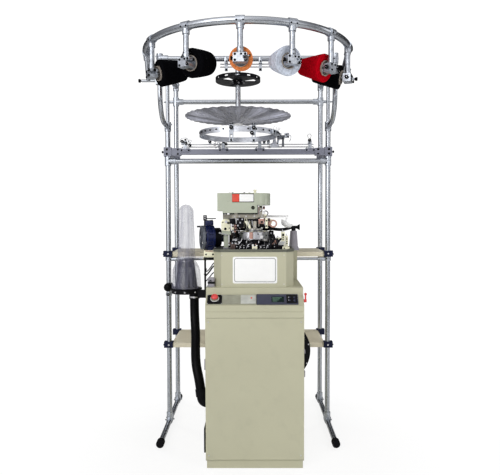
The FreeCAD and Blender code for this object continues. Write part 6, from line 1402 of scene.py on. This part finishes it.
def cables():
    """Cables that hang from the neck's left side to the receiver's black stay."""
    runs = (("cable_thick", 4.8, (-238.8, 30, 1132), (-322.5, 212.5, 1058), 30),
            ("cable_upper", 3.4, (-238.8, 60, 1150), (-316.5, 217, 1092), 34),
            ("cable_lower", 3.4, (-238.8, 0, 1094), (-322.5, 212.5, 1018), 26))
    gland = Piece("cable_glands", slot=KNOB)
    for name, radius, start, end, sag in runs:
        start, end = Vector(start), Vector(end)
        points = [start, start + Vector((-14, -1, 1))]
        for t in (0.25, 0.45, 0.65, 0.85):
            middle = (start + Vector((-14, 0, 0))).lerp(end, t)
            points.append(middle - UP * sag * 4 * t * (1 - t)
                          + Vector((-16 * math.sin(math.pi * t), 0, 0)))
        points.append(end)
        cable(name, points, radius)
        gland.rod(KNOB, start + Vector((0.2, 0, 0)), start - Vector((9, 0, 0)), radius * 1.9)
        gland.rod(KNOB, end - Vector((0, 1, 0)), end + Vector((0, 4, 0)), radius * 1.7)
    gland.made()


def receiver_trim():
    """Clamp screws, hose band and rim of the sock receiver."""
    piece = Piece("receiver_trim", slot=KNOB)
    base = Vector((-450, 260, 0))
    piece.turned("black_rubber", [(100.2, 956.5), (103, 956.5), (103.6, 960), (103, 964),
                                  (100.2, 964.5)], Matrix.Translation(base), 72, closed=True)
    for degrees in range(-80, 81, 40):
        way = around(degrees)
        piece.bolt(STEEL, base + way * 100.1 + UP * 944, way, 4, 4)
    piece.turned(KNOB, [(0, 0), (24, 0), (26.5, 3), (26.5, 10), (22, 17), (12, 21), (0, 22)],
                 aim((-588, 354, 955), FRONT), 40)
    piece.turned(STEEL, [(34.2, 900), (35.2, 900), (35.2, 910), (34.2, 910)],
                 Matrix.Translation((-398, 260, 0)), 48, closed=True)
    piece.box(STEEL, (-404, 219.5, 899.5), (-392, 225.2, 910.5), 1)
    piece.rod(STEEL, (-410, 221.5, 905), (-386, 221.5, 905), 2.6)
    hand_knob(piece, (-588, 382.5, 903), (-0.2, -1, 0), 11, 14)
    piece.turned("cast_joint", [(17.2, -10), (21.5, -10), (21.5, 10), (17.2, 10)],
                 Matrix.Translation((-588, 400, 903)), 40, closed=True)
    for z in (1424, 1436):
        piece.bolt(STEEL, (-321, 208, z), FRONT, 3, 3)
    piece.made()


def cabinet_trim():
    """Screws of cover, neck and sides, the grille box, the hinges and the fan's rim."""
    piece = Piece("cabinet_trim", slot=STEEL)
    for x in (-262, 262):
        for z in (75, 840):
            piece.rod(STEEL, (x, -299.8, z), (x, -301.6, z), 4.2)
            # black bar across each screw head: painted shade of its slot
            piece.box(BLACK, (x - 3, -301.9, z - 0.4), (x + 3, -301.4, z + 0.4), 0.1)
    for x in (-205, 195):
        for z in (1045, 1213):
            piece.rod(STEEL, (x * 0.9 - 5, -212.9, z), (x * 0.9 - 5, -214.5, z), 3.2)
    for z in (200, 500, 800):
        for sign in (-1, 1):
            piece.rod(STEEL, (sign * 279.9, 250, z), (sign * 281.8, 250, z), 4.2)
    piece.box(BLACK, (-292.5, -270, 78), (-280.2, -150, 222), 3)
    for k in range(6):
        piece.box("column_paint", (-293.5, -262 + 18 * k, 92), (-292.4, -256 + 18 * k, 208), 0.4)
    for z0, z1, sign in ((560, 620, -1), (520, 552, 1), (655, 675, 1)):
        piece.box("column_paint", (sign * 280.2 if sign > 0 else -288.5, -275, z0),
                  (288.5 if sign > 0 else -280.2, -248, z1), 1.5)
    piece.made()
    rim = Piece("fan_rim", slot=BLACK)
    rim.turned(BLACK, [(200.3, 0), (216.5, 0), (218, 1.5), (218, 6.5), (216.5, 8), (200.3, 8)],
               aim((165, 352, 521), FRONT), 96, closed=True)
    for k in range(10):
        turn = math.radians(36 * k + 12)
        rim.bolt(STEEL, (165 + 209 * math.cos(turn), 344, 521 + 209 * math.sin(turn)), FRONT, 4, 4)
    rim.made()


# ------------------------------------------------------------------ floor and light
def area_light(name, place, target, size, power):
    """Lamp that lights but isn't mirrored; the world holds what is mirrored."""
    data = bpy.data.lights.new(name, "AREA")
    data.shape = "RECTANGLE"
    data.size, data.size_y = size
    data.energy = power
    lamp = bpy.data.objects.new(name, data)
    lamp.location = place
    lamp.rotation_mode = "QUATERNION"
    lamp.rotation_quaternion = (Vector(target) - Vector(place)).to_track_quat("-Z", "Y")
    lamp.visible_glossy = False
    bpy.context.scene.collection.objects.link(lamp)


FLOOR_HALF = 14.0
BRIGHT_SIDE = (-0.30, -0.82, 0.48)
WORLD_RAMP = ((0.22, 0.05), (0.45, 0.16), (0.60, 0.34), (0.74, 0.46), (0.86, 0.92))
# azimuth from the front, half width, elevation as a sine, half height, brightness
SOFT_BOXES = ((-27.8, 17.0, 0.33, 0.34, 3.8), (-53.0, 4.0, 0.08, 0.33, 1.6),
              (48.0, 9.0, 0.10, 0.34, 1.7), (91.6, 5.0, 0.11, 0.34, 2.8),
              (0.0, 180.0, 1.0, 0.16, 0.5))


def soft_boxes(graph, direction, under):
    """What glossy surfaces mirror of the lamps: soft-edged fields on top of the world's ramp."""
    def inside(value, centre, half):
        away = graph.math("ABSOLUTE", graph.math("SUBTRACT", value, centre))
        return graph.spread(away, half * 0.6, half * 1.4, 1.0, 0.0,
                            interpolation_type="SMOOTHSTEP")

    way = graph.node("SeparateXYZ")
    graph.feed(way.inputs[0], direction)
    azimuth = graph.math("ARCTAN2", way.outputs[0], graph.math("MULTIPLY", way.outputs[1], -1.0))
    total = under
    for turn, width, lift, height, value in SOFT_BOXES:
        field = graph.math("MULTIPLY", inside(azimuth, math.radians(turn), math.radians(width)),
                           inside(way.outputs[2], lift, height))
        both = graph.node("VectorMath", operation="ADD")
        graph.feed(both.inputs[0], total)
        graph.feed(both.inputs[1], graph.math("MULTIPLY", field, value))
        total = both.outputs[0]
    return total


def pale_floor():
    """White floor; to the camera it glows a little, up to pure white away from the part."""
    floor = bpy.data.materials.new("floor_white")
    floor.use_nodes = True
    graph = Graph(floor.node_tree)
    diffuse = graph.tree.nodes["Principled BSDF"]
    diffuse.inputs["Base Color"].default_value = (0.86, 0.86, 0.86, 1)
    diffuse.inputs["Roughness"].default_value = 0.9
    glow = graph.node("Emission")
    glow.inputs[1].default_value = 1.06
    reach = graph.node("VectorMath", operation="LENGTH")
    graph.feed(reach.inputs[0], graph.node("TexCoord").outputs["Object"])
    fade = graph.spread(reach.outputs["Value"], 0.7, 2.0, 0.80, 1.0)
    seen = graph.math("MULTIPLY", graph.node("LightPath").outputs["Is Camera Ray"], fade)
    graph.feed(graph.tree.nodes["Material Output"].inputs[0],
               graph.blend(seen, diffuse.outputs[0], glow.outputs[0]))
    mesh = bpy.data.meshes.new("floor")
    signs = ((-1, -1), (1, -1), (1, 1), (-1, 1))
    mesh.from_pydata([(x * FLOOR_HALF, y * FLOOR_HALF, 0) for x, y in signs], [], [(0, 1, 2, 3)])
    mesh.materials.append(floor)
    ground = bpy.data.objects.new("floor", mesh)
    bpy.context.scene.collection.objects.link(ground)


def pale_world():
    """Even soft light; glossy rays see a ramp with fields on it, the camera sees white."""
    world = bpy.data.worlds.new("studio")
    bpy.context.scene.world = world
    world.use_nodes = True
    world.node_tree.nodes.clear()
    graph = Graph(world.node_tree)
    direction = graph.node("TexCoord").outputs["Generated"]
    toward = graph.node("VectorMath", operation="DOT_PRODUCT")
    toward.inputs[1].default_value = Vector(BRIGHT_SIDE).normalized()
    graph.feed(toward.inputs[0], direction)
    ramp = graph.node("ValToRGB")
    first, last = ramp.color_ramp.elements
    first.position, first.color = 0.0, (0.10, 0.10, 0.11, 1)
    last.position, last.color = 1.0, (1.0, 1.0, 1.0, 1)
    for position, value in WORLD_RAMP:
        ramp.color_ramp.elements.new(position).color = (value, value, value * 1.05, 1)
    graph.feed(ramp.inputs[0], graph.spread(toward.outputs["Value"], -1.0, 1.0, 0.0, 1.0))
    mirrored = graph.background(soft_boxes(graph, direction, ramp.outputs[0]), 0.84)
    white = (1, 1, 1, 1)
    rays = graph.node("LightPath").outputs
    lit = graph.blend(rays["Is Glossy Ray"], graph.background(white, 0.32), mirrored)
    seen = graph.blend(rays["Is Camera Ray"], lit, graph.background(white, 1.1))
    graph.feed(graph.node("OutputWorld").inputs[0], seen)


LAMPS = (("key", (-1.9, -3.6, 2.6), (0, 0, 1.2), (2.6, 3.4), 94),
         ("fill", (3.0, -2.7, 1.9), (0, 0, 1.2), (1.2, 3.0), 50),
         ("top", (0.0, -0.6, 4.6), (0, 0.2, 1.0), (2.6, 2.0), 9),
         ("back_left", (-3.0, 2.6, 2.2), (0, 0.4, 1.2), (0.7, 2.6), 45),
         ("back_right", (3.0, 2.6, 2.2), (0, 0.4, 1.2), (0.7, 2.6), 45))


def studio():
    """Floor, world, lamps and the plain way of showing colours."""
    pale_floor()
    pale_world()
    for lamp in LAMPS:
        area_light(*lamp)
    bpy.context.scene.view_settings.view_transform = "Standard"


# ------------------------------------------------------------------ assembly
hose()
dress_nodes()
for cone in CONES:
    yarn_package(*cone)
for build in (neck_label, panel_trim, head_label, clamp_knob_set, hanger_screws, joint_screws,
              wheel_trim, beam_trim, guide_trim, hub_trim, needle_set, cap_trim, station_gear,
              tray_gear, back_gear, feed_station, left_arms, right_arms, suction_fork,
              selector_trim, head_gear, nose_gear, cover_trim, column_trim, motor_trim,
              wheel_grip, deck_filter, neck_left, cables, receiver_trim, cabinet_trim):
    build()
studio()
